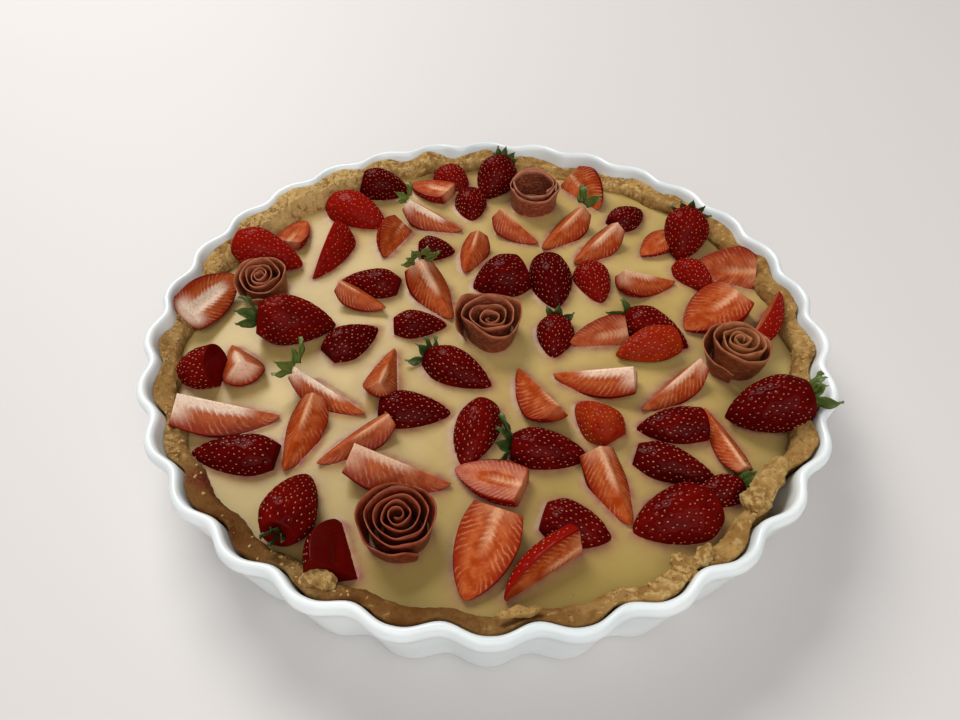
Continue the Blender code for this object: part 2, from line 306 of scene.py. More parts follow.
@dataclass(frozen=True)
class GlazeFinish:
    """White glaze of the dish, faintly bluish."""

    light: Colour = (0.80, 0.85, 0.85)
    shade: Colour = (0.70, 0.76, 0.77)

    def material(self) -> bpy.types.Material:
        """Make the material.

        Returns:
            A glossy white with a hint of unevenness.
        """
        bench = NodeBench("white_glaze")
        place = bench.place()
        cloud = bench.grain(place, 40.0, 2.0)
        bench.colour(bench.blend(bench.span(cloud, 0.35, 0.65), self.light, self.shade))
        bench.gloss(0.30, coat=0.30, coat_roughness=0.10)
        bench.relief(bench.grain(place, 9.0, 1.0), 0.05, 0.35)
        return bench.material


@dataclass(frozen=True)
class PastryFinish:
    """Baked shortcrust: golden tan, lighter where it crumbles, brown where it caught, with painted shade in
    its cracks, low places and pits.
    """

    pale: Colour = (0.56, 0.375, 0.145)
    light: Colour = (0.43, 0.257, 0.082)
    tan: Colour = (0.28, 0.145, 0.039)
    brown: Colour = (0.100, 0.031, 0.005)
    jam: Colour = (0.13, 0.012, 0.006)

    def material(self) -> bpy.types.Material:
        """Make the material.

        Returns:
            A matte pastry that reads its piece's numbers for crumb and relief, for browning and painted shade,
            and for jam.
        """
        bench = NodeBench("baked_pastry")
        place = bench.place()
        cloud = bench.grain(place, 12.0, 4.0)
        fine = bench.grain(place, 1.3, 5.0, 0.70)
        crumb_and_relief = bench.attribute("crumb_and_relief").outputs["Fac"]
        baked_and_shade = bench.attribute("baked_and_shade").outputs["Fac"]
        jam = bench.attribute("jam").outputs["Fac"]
        body = bench.blend(bench.span(cloud, 0.38, 0.64), self.tan, self.light)
        lift = bench.value("MULTIPLY", bench.span(crumb_and_relief, 0.25, 0.9),
                           bench.span(fine, 0.36, 0.56, 0.4, 1.0))
        body = bench.blend(lift, body, self.pale)
        # Painted shade: low places and cracks, where the crumb number falls below zero, turn brown.
        sunk = bench.span(crumb_and_relief, -0.7, 0.05, 0.5, 0.0)
        body = bench.blend(sunk, body, self.brown)
        # Browning from the oven, laid on harder along the front as painted shade.
        toast_and_shade = bench.value("MULTIPLY", baked_and_shade, bench.span(cloud, 0.30, 0.60, 0.55, 1.0))
        body = bench.blend(toast_and_shade, body, self.brown)
        # Painted shade: the small pits, which the relief also sinks, turn brown.
        pits = bench.span(bench.cells(place, 1.5), 0.10, 0.34, 0.62, 0.0)
        pits = bench.value("MULTIPLY", pits, bench.span(fine, 0.42, 0.60))
        body = bench.blend(pits, body, self.brown)
        body = bench.blend(bench.value("MULTIPLY", jam, bench.span(fine, 0.30, 0.52)), body, self.jam)
        bench.colour(body)
        bench.gloss(0.80, specular=0.08)
        bench.relief(bench.value("ADD", fine, bench.value("MULTIPLY", pits, -0.6)), 0.70, 1.0)
        return bench.material


@dataclass(frozen=True)
class CustardFinish:
    """Set vanilla custard: pale yellow, satin, specked; juice and painted contact shadow tinge it by the
    fruit, and painted shade darkens its front.
    """

    cream: Colour = (0.490, 0.360, 0.128)
    deep: Colour = (0.405, 0.286, 0.088)
    # Colour of the painted shade towards the front.
    front_shade: Colour = (0.285, 0.202, 0.050)
    # Reddish tint beside the fruit: partly juice, partly a painted contact shadow.
    juice_shadow_tint: Colour = (0.26, 0.085, 0.075)
    speck: Colour = (0.09, 0.05, 0.02)

    def material(self) -> bpy.types.Material:
        """Make the material.

        Returns:
            A satin custard that reads its piece's number for the juice tint and painted contact shadow beside
            the fruit.
        """
        bench = NodeBench("vanilla_custard")
        place = bench.place()
        cloud = bench.grain(place, 34.0, 3.0)
        body = bench.blend(bench.span(cloud, 0.34, 0.66), self.cream, self.deep)
        apart = bench.node("ShaderNodeSeparateXYZ")
        bench.feed(apart.inputs[0], place)
        # Painted shade: the custard darkens towards the front (-Y), where the light falls off.
        painted_front_shade = bench.span(apart.outputs[1], -0.135, -0.02, 0.75, 0.0)
        body = bench.blend(painted_front_shade, body, self.front_shade)
        # Beside the fruit: partly a juice tint, partly a painted contact shadow.
        juice_and_shadow = bench.attribute("juice_and_shadow").outputs["Fac"]
        wander = bench.span(bench.grain(place, 5.0, 2.0), 0.3, 0.7, 0.55, 1.1)
        body = bench.blend(bench.value("MULTIPLY", juice_and_shadow, wander), body, self.juice_shadow_tint)
        for spacing, least, most, strength in ((3.1, 0.03, 0.085, 0.8), (1.7, 0.02, 0.10, 0.45)):
            dots = bench.span(bench.cells(place, spacing), least, most, strength, 0.0)
            some = bench.span(bench.grain(place, 7.0 * spacing, 2.0), 0.46, 0.58)
            body = bench.blend(bench.value("MULTIPLY", dots, some), body, self.speck)
        bench.colour(body)
        bench.gloss(0.36, coat=0.06, coat_roughness=0.2, specular=0.14)
        bench.relief(bench.grain(place, 6.0, 3.0), 0.25, 0.35)
        return bench.material


@dataclass(frozen=True)
class SkinFinish:
    """Ripe strawberry skin, from maroon to orange red by the piece's "tone"."""

    maroon: Colour = (0.058, 0.0008, 0.0008)
    red: Colour = (0.22, 0.0050, 0.0022)
    scarlet: Colour = (0.31, 0.040, 0.004)

    def material(self) -> bpy.types.Material:
        """Make the material.

        Returns:
            A wet-looking skin that reads the "tone" attribute of its piece.
        """
        bench = NodeBench("strawberry_skin")
        place = bench.place()
        cloud = bench.grain(place, 7.0, 3.0)
        tone = bench.attribute("tone").outputs["Fac"]
        mottled = bench.value("ADD", tone, bench.value("MULTIPLY_ADD", cloud, 0.5, -0.25))
        body = bench.blend(bench.span(mottled, 0.0, 0.6), self.maroon, self.red)
        body = bench.blend(bench.span(mottled, 0.62, 1.05), body, self.scarlet)
        bench.colour(body)
        bench.gloss(0.40, coat=0.060, coat_roughness=0.09, specular=0.0)
        bench.relief(bench.grain(place, 1.1, 2.0), 0.12, 0.5)
        return bench.material


@dataclass(frozen=True)
class FleshFinish:
    """Cut strawberry flesh: cream core, salmon body with fine whitish fibres, dark thin rim."""

    white: Colour = (0.84, 0.64, 0.48)
    core: Colour = (0.62, 0.30, 0.155)
    pale: Colour = (0.44, 0.094, 0.024)
    orange: Colour = (0.31, 0.038, 0.004)
    outer: Colour = (0.22, 0.013, 0.0012)
    rim: Colour = (0.085, 0.0015, 0.0008)
    fibre: Colour = (0.60, 0.24, 0.11)

    def depth(self, bench: NodeBench, along: Socket, side: Socket, up: Socket) -> Socket:
        """Distance from the core as a share of the way to the skin.

        Args:
            bench: Material being made.
            along: Share of the length from the blunt end.
            side: Place across, in radii of the widest place.
            up: Height, in the same measure.

        Returns:
            The share, 0 on the core and 1 on the skin.
        """
        blunt = bench.attribute("blunt").outputs["Fac"]
        reach = bench.value("SQRT", bench.value("ADD", bench.value("POWER", side, 2.0),
                                                bench.value("POWER", up, 2.0)))
        past = bench.value("MAXIMUM", bench.value("SUBTRACT", along, WIDEST), 0.0)
        past = bench.value("DIVIDE", past, 1.0 - WIDEST)
        taper = bench.value("SUBTRACT", 1.0, bench.value("POWER", past, 1.7))
        taper = bench.value("POWER", taper, 0.72)
        before = bench.value("MAXIMUM", bench.value("SUBTRACT", WIDEST, along), 0.0)
        before = bench.value("POWER", bench.value("DIVIDE", before, WIDEST), 2.0)
        narrow = bench.value("MULTIPLY", before, bench.value("SUBTRACT", 1.0, blunt))
        outline = bench.value("MINIMUM", taper, bench.value("SUBTRACT", 1.0, narrow))
        return bench.value("DIVIDE", reach, bench.value("MAXIMUM", outline, 0.03))

    def fibres(self, bench: NodeBench, along: Socket, side: Socket, up: Socket,
               depth: Socket) -> Socket:
        """Strength of the fibres, which run outwards from the core, or round the blunt end.

        Args:
            bench: Material being made.
            along: Share of the length from the blunt end.
            side: Place across, in radii of the widest place.
            up: Height, in the same measure.
            depth: Distance from the core as a share of the way to the skin.

        Returns:
            The strength, 0 to 1.
        """
        waver = bench.grain(bench.place(), 2.6, 3.0)
        phase = bench.value("MULTIPLY_ADD", depth, -0.26, along)
        phase = bench.value("MULTIPLY_ADD", waver, 0.075, phase)
        stripe = bench.value("SINE", bench.value("MULTIPLY", phase, 92.0))
        stripe = bench.span(stripe, 0.15, 1.0)
        ray = bench.value("MULTIPLY_ADD", bench.value("ARCTAN2", side, up), 26.0,
                          bench.value("MULTIPLY", waver, 5.0))
        ray = bench.span(bench.value("SINE", ray), 0.0, 1.0)
        stem = bench.span(along, 0.0, 0.02, 1.0, 0.0)
        return bench.value("ADD", bench.value("MULTIPLY", ray, stem), bench.value(
            "MULTIPLY", stripe, bench.value("SUBTRACT", 1.0, stem)))

    def material(self) -> bpy.types.Material:
        """Make the material.

        Returns:
            Moist flesh that reads the "berry", "blunt" and "pale" attributes of its piece.
        """
        bench = NodeBench("strawberry_flesh")
        place = bench.place()
        apart = bench.node("ShaderNodeSeparateXYZ")
        bench.feed(apart.inputs[0], bench.attribute("berry").outputs["Vector"])
        along, side, up = apart.outputs
        pale = bench.attribute("pale").outputs["Fac"]
        depth = self.depth(bench, along, side, up)
        fibres = self.fibres(bench, along, side, up, depth)
        cloud = bench.grain(place, 4.0, 4.0)
        fine = bench.grain(place, 0.9, 3.0, 0.65)
        uneven = bench.value("MULTIPLY_ADD", cloud, 0.30, bench.value("ADD", depth, -0.15))

        tint = bench.value("MULTIPLY_ADD", pale, 0.10, bench.value("SUBTRACT", cloud, 0.05))
        body = bench.blend(bench.span(tint, 0.36, 0.66), self.orange, self.pale)
        body = bench.blend(bench.span(uneven, 0.42, 0.92, 0.0, 0.92), body, self.outer)

        belt = bench.value("MULTIPLY", bench.span(uneven, 0.24, 0.50),
                           bench.span(depth, 0.86, 0.97, 1.0, 0.0))
        patches = bench.span(bench.grain(place, 5.5, 2.0), 0.38, 0.64, 0.04, 0.52)
        shown = bench.value("MULTIPLY", bench.value("MULTIPLY", fibres, belt), patches)
        body = bench.blend(shown, body, self.fibre)

        core_edge = bench.value("MULTIPLY_ADD", pale, 0.22, 0.04)
        core_edge = bench.value("MULTIPLY_ADD", fibres, 0.07, core_edge)
        inside = bench.value("SUBTRACT", uneven, core_edge)
        length = bench.value("MULTIPLY_ADD", pale, 0.34, 0.28)
        short = bench.value("SUBTRACT", along, length)
        core = bench.value("MULTIPLY", bench.span(inside, -0.14, 0.10, 1.0, 0.0),
                           bench.span(short, -0.12, 0.16, 1.0, 0.0))
        core_tint = bench.blend(bench.span(pale, 0.55, 1.1), self.core, self.white)
        body = bench.blend(core, body, core_tint)
        white_end = bench.value("MULTIPLY", bench.span(along, -0.02, 0.24, 1.0, 0.0), pale)
        white_end = bench.value("MULTIPLY", white_end, bench.span(depth, 0.45, 0.95, 0.85, 0.0))
        body = bench.blend(white_end, body, core_tint)

        pores = bench.span(fine, 0.46, 0.70, 0.0, 0.34)
        pores = bench.value("MULTIPLY", pores, bench.span(depth, 0.70, 0.95, 1.0, 0.2))
        body = bench.blend(pores, body, self.orange)
        body = bench.blend(bench.span(depth, 0.93, 0.995), body, self.rim)
        # Painted shade: a pale below 0 paints the cut faces in the dark rim red.
        dark = bench.span(pale, -1.0, -0.1, 1.0, 0.0)
        body = bench.blend(dark, body, self.rim)
        bench.colour(body)
        bench.gloss(0.36, coat=0.10, coat_roughness=0.10, specular=0.02)
        bench.relief(bench.value("ADD", shown, bench.value("MULTIPLY", fine, 1.4)), 0.25, 0.7)
        return bench.material


@dataclass(frozen=True)
class SeedFinish:
    """Pale pinkish-yellow seed."""

    straw: Colour = (0.44, 0.17, 0.070)
    rosy: Colour = (0.33, 0.060, 0.036)

    def material(self) -> bpy.types.Material:
        """Make the material.

        Returns:
            A glossy seed whose tint wanders from straw to rosy.
        """
        bench = NodeBench("seed")
        tint = bench.span(bench.grain(bench.place(), 5.0, 2.0), 0.35, 0.65)
        bench.colour(bench.blend(tint, self.straw, self.rosy))
        bench.gloss(0.3)
        return bench.material


@dataclass(frozen=True)
class LeafFinish:
    """Strawberry calyx: deep green, yellower towards its tips."""

    deep: Colour = (0.008, 0.026, 0.005)
    fresh: Colour = (0.12, 0.17, 0.030)

    def material(self) -> bpy.types.Material:
        """Make the material.

        Returns:
            A satin leaf that reads the "fresh" number of its piece.
        """
        bench = NodeBench("calyx")
        place = bench.place()
        fresh = bench.attribute("fresh").outputs["Fac"]
        cloud = bench.grain(place, 3.0, 3.0)
        tint = bench.value("ADD", fresh, bench.value("MULTIPLY_ADD", cloud, 0.6, -0.3))
        bench.colour(bench.blend(bench.span(tint, 0.0, 1.0), self.deep, self.fresh))
        bench.gloss(0.34, specular=0.45)
        bench.relief(bench.grain(place, 1.3, 3.0), 0.35, 0.8)
        return bench.material


@dataclass(frozen=True)
class RibbonFinish:
    """Thin slice of poached fruit, translucent, with a painted highlight along its top edge."""

    name: str
    body: Colour
    # Colour of the pale streaks and of the painted highlight along the top edge.
    edge: Colour
    inner: Colour

    def material(self) -> bpy.types.Material:
        """Make the material.

        Returns:
            A satin ribbon that reads the "rise" and "wrap" numbers of its piece.
        """
        bench = NodeBench(self.name)
        place = bench.place()
        rise = bench.attribute("rise").outputs["Fac"]
        wrap = bench.attribute("wrap").outputs["Fac"]
        cloud = bench.grain(place, 5.0, 3.0)
        body = bench.blend(wrap, self.inner, self.body)
        streak = bench.node("ShaderNodeMapping")
        bench.feed(streak.inputs["Vector"], place)
        streak.inputs["Scale"].default_value = (1.0, 1.0, 3.0)
        lines = bench.grain(streak.outputs[0], 2.2, 3.0)
        body = bench.blend(bench.span(lines, 0.42, 0.70, 0.0, 0.55), body, self.edge)
        # Painted highlight: the top edge is lightened to stand in for light shining through the thin slice.
        near = bench.value("MULTIPLY", bench.span(rise, 0.80, 0.97),
                           bench.span(cloud, 0.30, 0.62, 0.35, 1.0))
        body = bench.blend(near, body, self.edge)
        bench.colour(body)
        bench.gloss(0.36, coat=0.10, coat_roughness=0.15, specular=0.08)
        bench.relief(lines, 0.2, 0.5)
        return bench.material


# ---------------------------------------------------------------- dish


@dataclass
class FlanDish:
    """Fluted porcelain flan dish with a rounded bead."""

    flutes: int = 30
    flute_start: float = 6.3
    flute_depth: float = 4.0
    steps_per_flute: int = 18
    # Outline from the middle of the floor over the bead to the foot: radius at a flute's
    # outermost line, height, share of the flute depth.
    outline: tuple[tuple[float, float, float], ...] = (
        (134.5, 5.0, 0.75), (138.2, 6.6, 0.9), (139.7, 11.0, 1.0), (143.2, 24.0, 1.0),
        (146.2, 34.9, 1.0), (146.9, 37.5, 1.0), (147.2, 39.2, 1.0), (147.6, 40.5, 1.0),
        (148.2, 41.4, 1.0), (148.9, 41.9, 1.0), (149.6, 42.0, 1.0), (150.4, 41.7, 1.0),
        (151.1, 41.0, 1.0), (151.6, 39.9, 1.0), (151.8, 38.6, 1.0), (151.6, 37.2, 1.0),
        (151.0, 36.0, 1.0), (150.2, 34.6, 1.0), (148.9, 29.0, 1.0), (146.2, 17.5, 1.0),
        (143.7, 6.5, 1.0), (142.9, 3.0, 1.0), (142.3, 1.2, 1.0), (141.4, 0.3, 0.97),
        (140.6, 0.0, 0.95),
    )
    finish: GlazeFinish = field(default_factory=GlazeFinish)

    def inset(self, angle: float) -> float:
        """Distance inwards from the flutes' outermost line at a plan angle."""
        turn = math.radians(self.flutes * (angle - self.flute_start))
        return self.flute_depth * (0.5 - 0.5 * math.cos(turn)) ** 1.3

    def wall(self, height: float) -> float:
        """Radius of the inner wall at a height, at a flute's outermost line."""
        return 139.5 + (height - 11.0) * (146.9 - 139.5) / 26.5

    def ring(self, point: tuple[float, float, float]) -> Callable[[float], tuple[float, float]]:
        """Ring of the dish through one point of its outline."""
        radius, height, share = point
        return lambda angle: (radius - share * self.inset(angle), height)

    def build(self) -> bpy.types.Object:
        """Make the dish.

        Returns:
            The finished dish.
        """
        bm = bmesh.new()
        rings = [self.ring(point) for point in self.outline]
        loft_rings(bm, rings, self.flutes * self.steps_per_flute, close_ends=True)
        return finish_piece("flan_dish", bm, [self.finish.material()], ["dish"])


# ---------------------------------------------------------------- pastry


@dataclass
class PastryCase:
    """Pastry case that stands uneven above the custard and crumbles along its crest."""

    dish: FlanDish
    steps: int = 1620
    crest_height: float = 35.2
    outer_rise: float = 3.6     # how far the crest's outside stands above its inside
    crest_radius: float = 138.6
    # Where the crest rises or sinks: plan angle, half width, rise.
    changes: tuple[tuple[float, float, float], ...] = (
        (12, 8, 1.2), (38, 5, 1.0), (47, 6, 0.8), (70, 9, -2.6), (90, 5, 1.2), (99, 2, -2.8),
        (104, 4, 1.8), (110, 2, -1.6), (135, 26, 3.9), (193, 6, 1.0), (209, 5, -1.0),
        (221, 4, 1.6), (246, 4, 1.2), (258, 4, 1.0), (272, 4, -1.4), (284, 5, 1.0),
        (297, 5, 1.8), (309, 4, 1.2), (320, 5, 3.0), (333, 4, 3.0), (345, 5, -1.5),
        (355, 5, 0.8),
    )
    # Where a flake of the crest leans in and bares the dish: angle, half width, lean.
    flake: tuple[float, float, float] = (319.5, 5.0, 5.5)
    # Where the inner side slopes in further: angle, half width, depth.
    slope: tuple[float, float, float] = (142.0, 20.0, 5.0)
    # Places that caught in the oven, browned harder along the front as painted shade, and places that crumble:
    # plan angle, half width, strength.
    browned_and_front_shade: tuple[tuple[float, float, float], ...] = (
        (228, 18, 1.0), (256, 20, 1.0), (276, 9, 0.75), (300, 14, 0.08), (190, 16, 0.4),
        (345, 14, 0.25), (10, 12, 0.2),
    )
    crumbly: tuple[tuple[float, float, float], ...] = (
        (135, 30, 1.25), (100, 12, 0.5), (245, 7, 0.9), (297, 8, 0.8), (320, 6, 1.0),
        (355, 10, 0.5), (60, 16, 0.6), (180, 12, 0.6), (209, 8, 0.6),
    )
    jam: tuple[float, float, float] = (219.0, 3.0, 0.9)
    finish: PastryFinish = field(default_factory=PastryFinish)

    def crest(self, angle: float) -> float:
        """Height of the crest at a plan angle."""
        return self.crest_height + sum(
            rise * swell(angle, at, width) for at, width, rise in self.changes)

    def lean(self, angle: float) -> float:
        """How far the crest leans in at a plan angle."""
        at, width, depth = self.flake
        return depth * swell(angle, at, width)

    def custard_edge(self, angle: float) -> float:
        """Radius where the custard meets the pastry."""
        at, width, depth = self.slope
        return 140.2 - 0.7 * self.dish.inset(angle) - depth * swell(angle, at, width)

    def strength(self, spots: Iterable[tuple[float, float, float]], angle: float) -> float:
        """Strongest of several spots at a plan angle."""
        return max(power * swell(angle, at, width) for at, width, power in spots)

    def outer_ring(self, height: float) -> Callable[[float], tuple[float, float]]:
        """Ring on the outside, at a height that the crest may cut short."""
        def ring(angle: float) -> tuple[float, float]:
            """Radius and height at a plan angle."""
            at = min(height, self.crest(angle) - 1.4)
            radius = self.dish.wall(at) - 0.3 - self.dish.inset(angle)
            return radius - self.lean(angle) * smoothstep(24.0, 33.0, at), at
        return ring

    def bank(self, angle: float, share: float) -> float:
        """How far the crest rises towards the dish: share 0 is its outside and 1 its inside."""
        at, width, _ = self.flake
        ragged = 0.75 + 0.5 * noise.noise(Vector((angle / 4.0, 3.0, 0.0)))
        return self.outer_rise * ragged * (1.0 - swell(angle, at, width)) * (1.0 - share) ** 1.3

    def crest_ring(self, share: float, fall: float) -> Callable[[float], tuple[float, float]]:
        """Ring on the crest: share 0 is its outside and 1 its inside, fall is down from the top."""
        def ring(angle: float) -> tuple[float, float]:
            """Radius and height at a plan angle."""
            top = self.crest(angle)
            outside = self.dish.wall(top) - 0.2 - self.dish.inset(angle) - self.lean(angle)
            inside = self.crest_radius - 0.35 * self.dish.inset(angle) - 0.5 * self.lean(angle)
            height = min(top + self.bank(angle, share), 40.6) - fall
            return outside + share * (inside - outside), height
        return ring

    def inner_ring(self, share: float) -> Callable[[float], tuple[float, float]]:
        """Ring on the inner side: share 0 is the crest and 1 the custard line."""
        def ring(angle: float) -> tuple[float, float]:
            """Radius and height at a plan angle."""
            inside = self.crest_radius - 0.35 * self.dish.inset(angle) - 0.5 * self.lean(angle)
            edge = self.custard_edge(angle) - 1.2
            top = self.crest(angle) - 0.7
            bulge = -1.2 * math.sin(math.pi * share)
            return inside + share * (edge - inside) + bulge, top + share * (29.0 - top)
        return ring

    def rings(self) -> list[Callable[[float], tuple[float, float]]]:
        """Rings from under the floor, over the crest and down to the floor inside."""
        stack: list[Callable[[float], tuple[float, float]]] = [
            lambda angle: (134.2 - 0.75 * self.dish.inset(angle), 5.3),
            self.outer_ring(11.3),
        ]
        stack += [self.outer_ring(height) for height in (20.0, 27.0, 30.0, 32.0, 34.0, 37.0)]
        crest_rings = 13
        for index in range(crest_rings):
            share = (index + 0.3) / (crest_rings - 0.4)
            edge = max(0.0, 1.0 - min(share, 1.0 - share) / 0.16)
            stack.append(self.crest_ring(share, 0.7 * edge * edge))
        inner_rings = 12
        stack += [self.inner_ring((index + 0.5) / inner_rings) for index in range(inner_rings)]
        stack += [
            lambda angle: (self.custard_edge(angle) - 2.5, 26.5),
            lambda angle: (132.5 - 0.5 * self.dish.inset(angle), 10.5),
        ]
        return stack

    def crumble(self, place: Vector, angle: float, height: float) -> tuple[Vector, float]:
        """Unevenness of the baked surface at a point.

        Args:
            place: Point of the smooth case, in metres.
            angle: Its plan angle.
            height: Its height in millimetres.

        Returns:
            The move in metres, and how far the point stands out, about -1 to 1.
        """
        loose = self.strength(self.crumbly, angle)
        shown = smoothstep(27.5, 31.0, height)
        outward = Vector((math.cos(math.radians(angle)), math.sin(math.radians(angle)), 0.0))
        broad = rough(place, 11.0, 2)
        fine = rough(place + Vector((0.3, 0.1, 0.0)), 2.8, 4)
        grit = noise.voronoi(place / (1.9 * MM))[0][0]
        lumps = smoothstep(0.55, 0.1, grit) * smoothstep(-0.05, 0.35, rough(place, 8.0, 2) + 0.4 * loose)
        crack = smoothstep(0.10, 0.0, abs(rough(place + Vector((0.0, 0.2, 0.5)), 9.0, 2)))
        crack *= smoothstep(0.1, 0.5, loose)
        upward = 0.7 * broad + (0.20 + 0.45 * loose) * fine + (0.06 + 0.35 * loose) * lumps
        upward -= 0.55 * crack
        inward = 1.1 * rough(place + Vector((0.7, 0.0, 0.3)), 13.0, 2) + 0.5 * fine
        inward += 0.25 * lumps * loose
        stands = fine + 0.8 * lumps - 1.2 * crack
        move = Vector((0.0, 0.0, 1.0)) * upward - outward * abs(inward)
        return move * shown * MM, stands

    def build(self) -> bpy.types.Object:
        """Make the pastry case.

        Returns:
            The finished case.
        """
        bm = bmesh.new()
        loft_rings(bm, self.rings(), self.steps, close_ends=True)
        crumb_and_relief, baked_and_shade, jam = (float_layer(bm, name) for name in ("crumb_and_relief", "baked_and_shade", "jam"))
        for vert in bm.verts:
            angle = math.degrees(math.atan2(vert.co.y, vert.co.x)) % 360.0
            height = vert.co.z / MM
            radius = vert.co.to_2d().length / MM
            move, stands = self.crumble(vert.co.copy(), angle, height)
            vert.co += move
            # The crumb number also carries how far the point stands out, so its low places take painted shade.
            vert[crumb_and_relief] = 0.80 * self.strength(self.crumbly, angle) + 0.8 * stands
            # Browning, partly painted shade along the front.
            vert[baked_and_shade] = self.strength(self.browned_and_front_shade, angle)
            at, width, power = self.jam
            vert[jam] = power * swell(angle, at, width) * smoothstep(146.0, 139.0, radius)
        return finish_piece("pastry_case", bm, [self.finish.material()], ["crust"])


@dataclass
class Crumbs:
    """Loose crumbs and short flakes of pastry that lie along the crest."""

    case: PastryCase
    count: int = 420
    seed: int = 11

    def build(self) -> bpy.types.Object:
        """Make the crumbs.

        Returns:
            One piece that holds them all.
        """
        chance = random.Random(self.seed)
        bm = bmesh.new()
        crumb_and_relief, baked_and_shade, jam = (float_layer(bm, name) for name in ("crumb_and_relief", "baked_and_shade", "jam"))
        placed = 0
        while placed < self.count:
            angle = chance.uniform(0.0, 360.0)
            if chance.random() > 0.05 + self.case.strength(self.case.crumbly, angle):
                continue
            placed += 1
            radius, height = self.case.crest_ring(chance.uniform(0.12, 1.0), 0.0)(angle)
            turn = math.radians(angle)
            spot = Vector((radius * math.cos(turn), radius * math.sin(turn), height)) * MM
            spot += self.case.crumble(spot.copy(), angle, height)[0]
            size = chance.uniform(0.28, 0.85) * MM
            made = bmesh.ops.create_icosphere(bm, subdivisions=1, radius=size)["verts"]
            stretch = Matrix.Diagonal((chance.uniform(0.7, 1.7), chance.uniform(0.6, 1.1),
                                       chance.uniform(0.5, 0.9), 1.0))
            spin = Matrix.Rotation(chance.uniform(0.0, math.tau), 4, "Z")
            tilt = Matrix.Rotation(chance.uniform(-0.5, 0.5), 4, "X")
            for vert in made:
                vert.co *= 1.0 + 0.35 * noise.noise(vert.co * 2500.0 + spot * 900.0)
                vert[crumb_and_relief], vert[baked_and_shade], vert[jam] = 0.9, 0.1, 0.0
            bmesh.ops.transform(bm, matrix=Matrix.Translation(spot) @ spin @ tilt @ stretch,
                                verts=made)
        return finish_piece("pastry_crumbs", bm, [self.case.finish.material()])


@dataclass(frozen=True)
class Flake:
    """One broken slab of pastry on the crest."""

    place: tuple[float, float, float]
    size: tuple[float, float, float]    # along the rim, across it and up
    turn: float                         # plan direction that its length runs in
    lean: float = 0.0                   # how far it leans inwards, in degrees
    crumbly: float = 0.8


@dataclass
class PastryFlakes:
    """Slabs that broke from the crest and lie or stand on it."""

    case: PastryCase
    flakes: tuple[Flake, ...] = (
        Flake((106.0, -86.0, 37.2), (26.0, 8.0, 9.0), 49.0, 22.0, 1.0),
        Flake((99.0, -94.0, 36.6), (12.0, 9.0, 6.0), 40.0, 8.0, 1.0),
        Flake((67.5, -122.0, 36.6), (7.0, 12.0, 5.0), 25.0, 0.0, 1.0),
        Flake((75.0, -117.5, 36.4), (10.0, 6.0, 5.0), 35.0, 0.0, 1.0),
        Flake((10.0, -138.5, 37.8), (14.0, 4.0, 2.2), 10.0, 12.0, 0.1),
        Flake((-57.0, -127.0, 36.4), (12.0, 7.0, 4.0), -22.0, 0.0, 1.0),
    )

    def build(self) -> bpy.types.Object:
        """Make the slabs.

        Returns:
            One piece that holds them all.
        """
        bm = bmesh.new()
        crumb_and_relief, baked_and_shade, jam = (float_layer(bm, name) for name in ("crumb_and_relief", "baked_and_shade", "jam"))
        for flake in self.flakes:
            made = bmesh.ops.create_icosphere(bm, subdivisions=5, radius=1.0)["verts"]
            half = [0.5 * size for size in flake.size]
            pose = (Matrix.Translation(Vector(flake.place) * MM)
                    @ Matrix.Rotation(math.radians(flake.turn), 4, "Z")
                    @ Matrix.Rotation(math.radians(-flake.lean), 4, "X"))
            for vert in made:
                box = [math.copysign(abs(part) ** 0.8, part) for part in vert.co]
                spot = Vector([part * reach for part, reach in zip(box, half)]) * MM
                out = vert.co.normalized()
                seed = Vector(flake.place)
                broad = rough(spot + seed, 6.0, 3)
                fine = rough(spot + seed * 2.0, 1.9, 3)
                vert.co = pose @ (spot + out * (1.5 * broad + 0.5 * flake.crumbly * fine) * MM)
                # Relief feeds the crumb number, so the slab's low places take painted shade.
                vert[crumb_and_relief] = 0.45 * flake.crumbly + 0.9 * fine + 0.3 * broad
                vert[baked_and_shade], vert[jam] = 0.12, 0.0
        bmesh.ops.recalc_face_normals(bm, faces=bm.faces)
        return finish_piece("pastry_flakes", bm, [self.case.finish.material()])


# ---------------------------------------------------------------- strawberries

WIDEST = 0.3                # place of the greatest width along a strawberry


class Cut(Enum):
    """How a strawberry was cut.

    Each value holds the directions that the cut faces look to, seen along the berry from its
    blunt end: 0 is left, 90 is up, 180 is right and 270 is down.
    """

    WHOLE = ()
    SKIN_UP = (270,)
    SKIN_LEFT = (270, 165)
    FACE_UP = (90,)
    FACE_LEFT = (45,)
    FACE_RIGHT = (135,)
    SIDE_LEFT = (15,)
    RIDGE = (130, 50)
    RIDGE_LEFT = (150, 55)
    RIDGE_RIGHT = (125, 30)

    @property
    def core_share(self) -> float:
        """Height of the core over the custard at the widest place, as a share of the radius."""
        return {Cut.WHOLE: 0.70, Cut.SKIN_UP: 0.0, Cut.SKIN_LEFT: 0.0, Cut.FACE_UP: 0.55,
                Cut.FACE_LEFT: 0.45, Cut.FACE_RIGHT: 0.45, Cut.SIDE_LEFT: 0.30}.get(self, 0.78)


@dataclass(frozen=True)
class Calyx:
    """Leaves left on a strawberry's blunt end."""

    count: int = 5
    length: float = 9.5
    width: float = 4.6
    splay: float = 50.0         # angle from straight back towards sideways
    middle: float = 90.0        # where the fan is centred round the berry, 90 is up
    fan: float = 200.0          # how far round it spreads
    fresh: float = 0.4
    stalk: float = 0.0          # length of a stalk


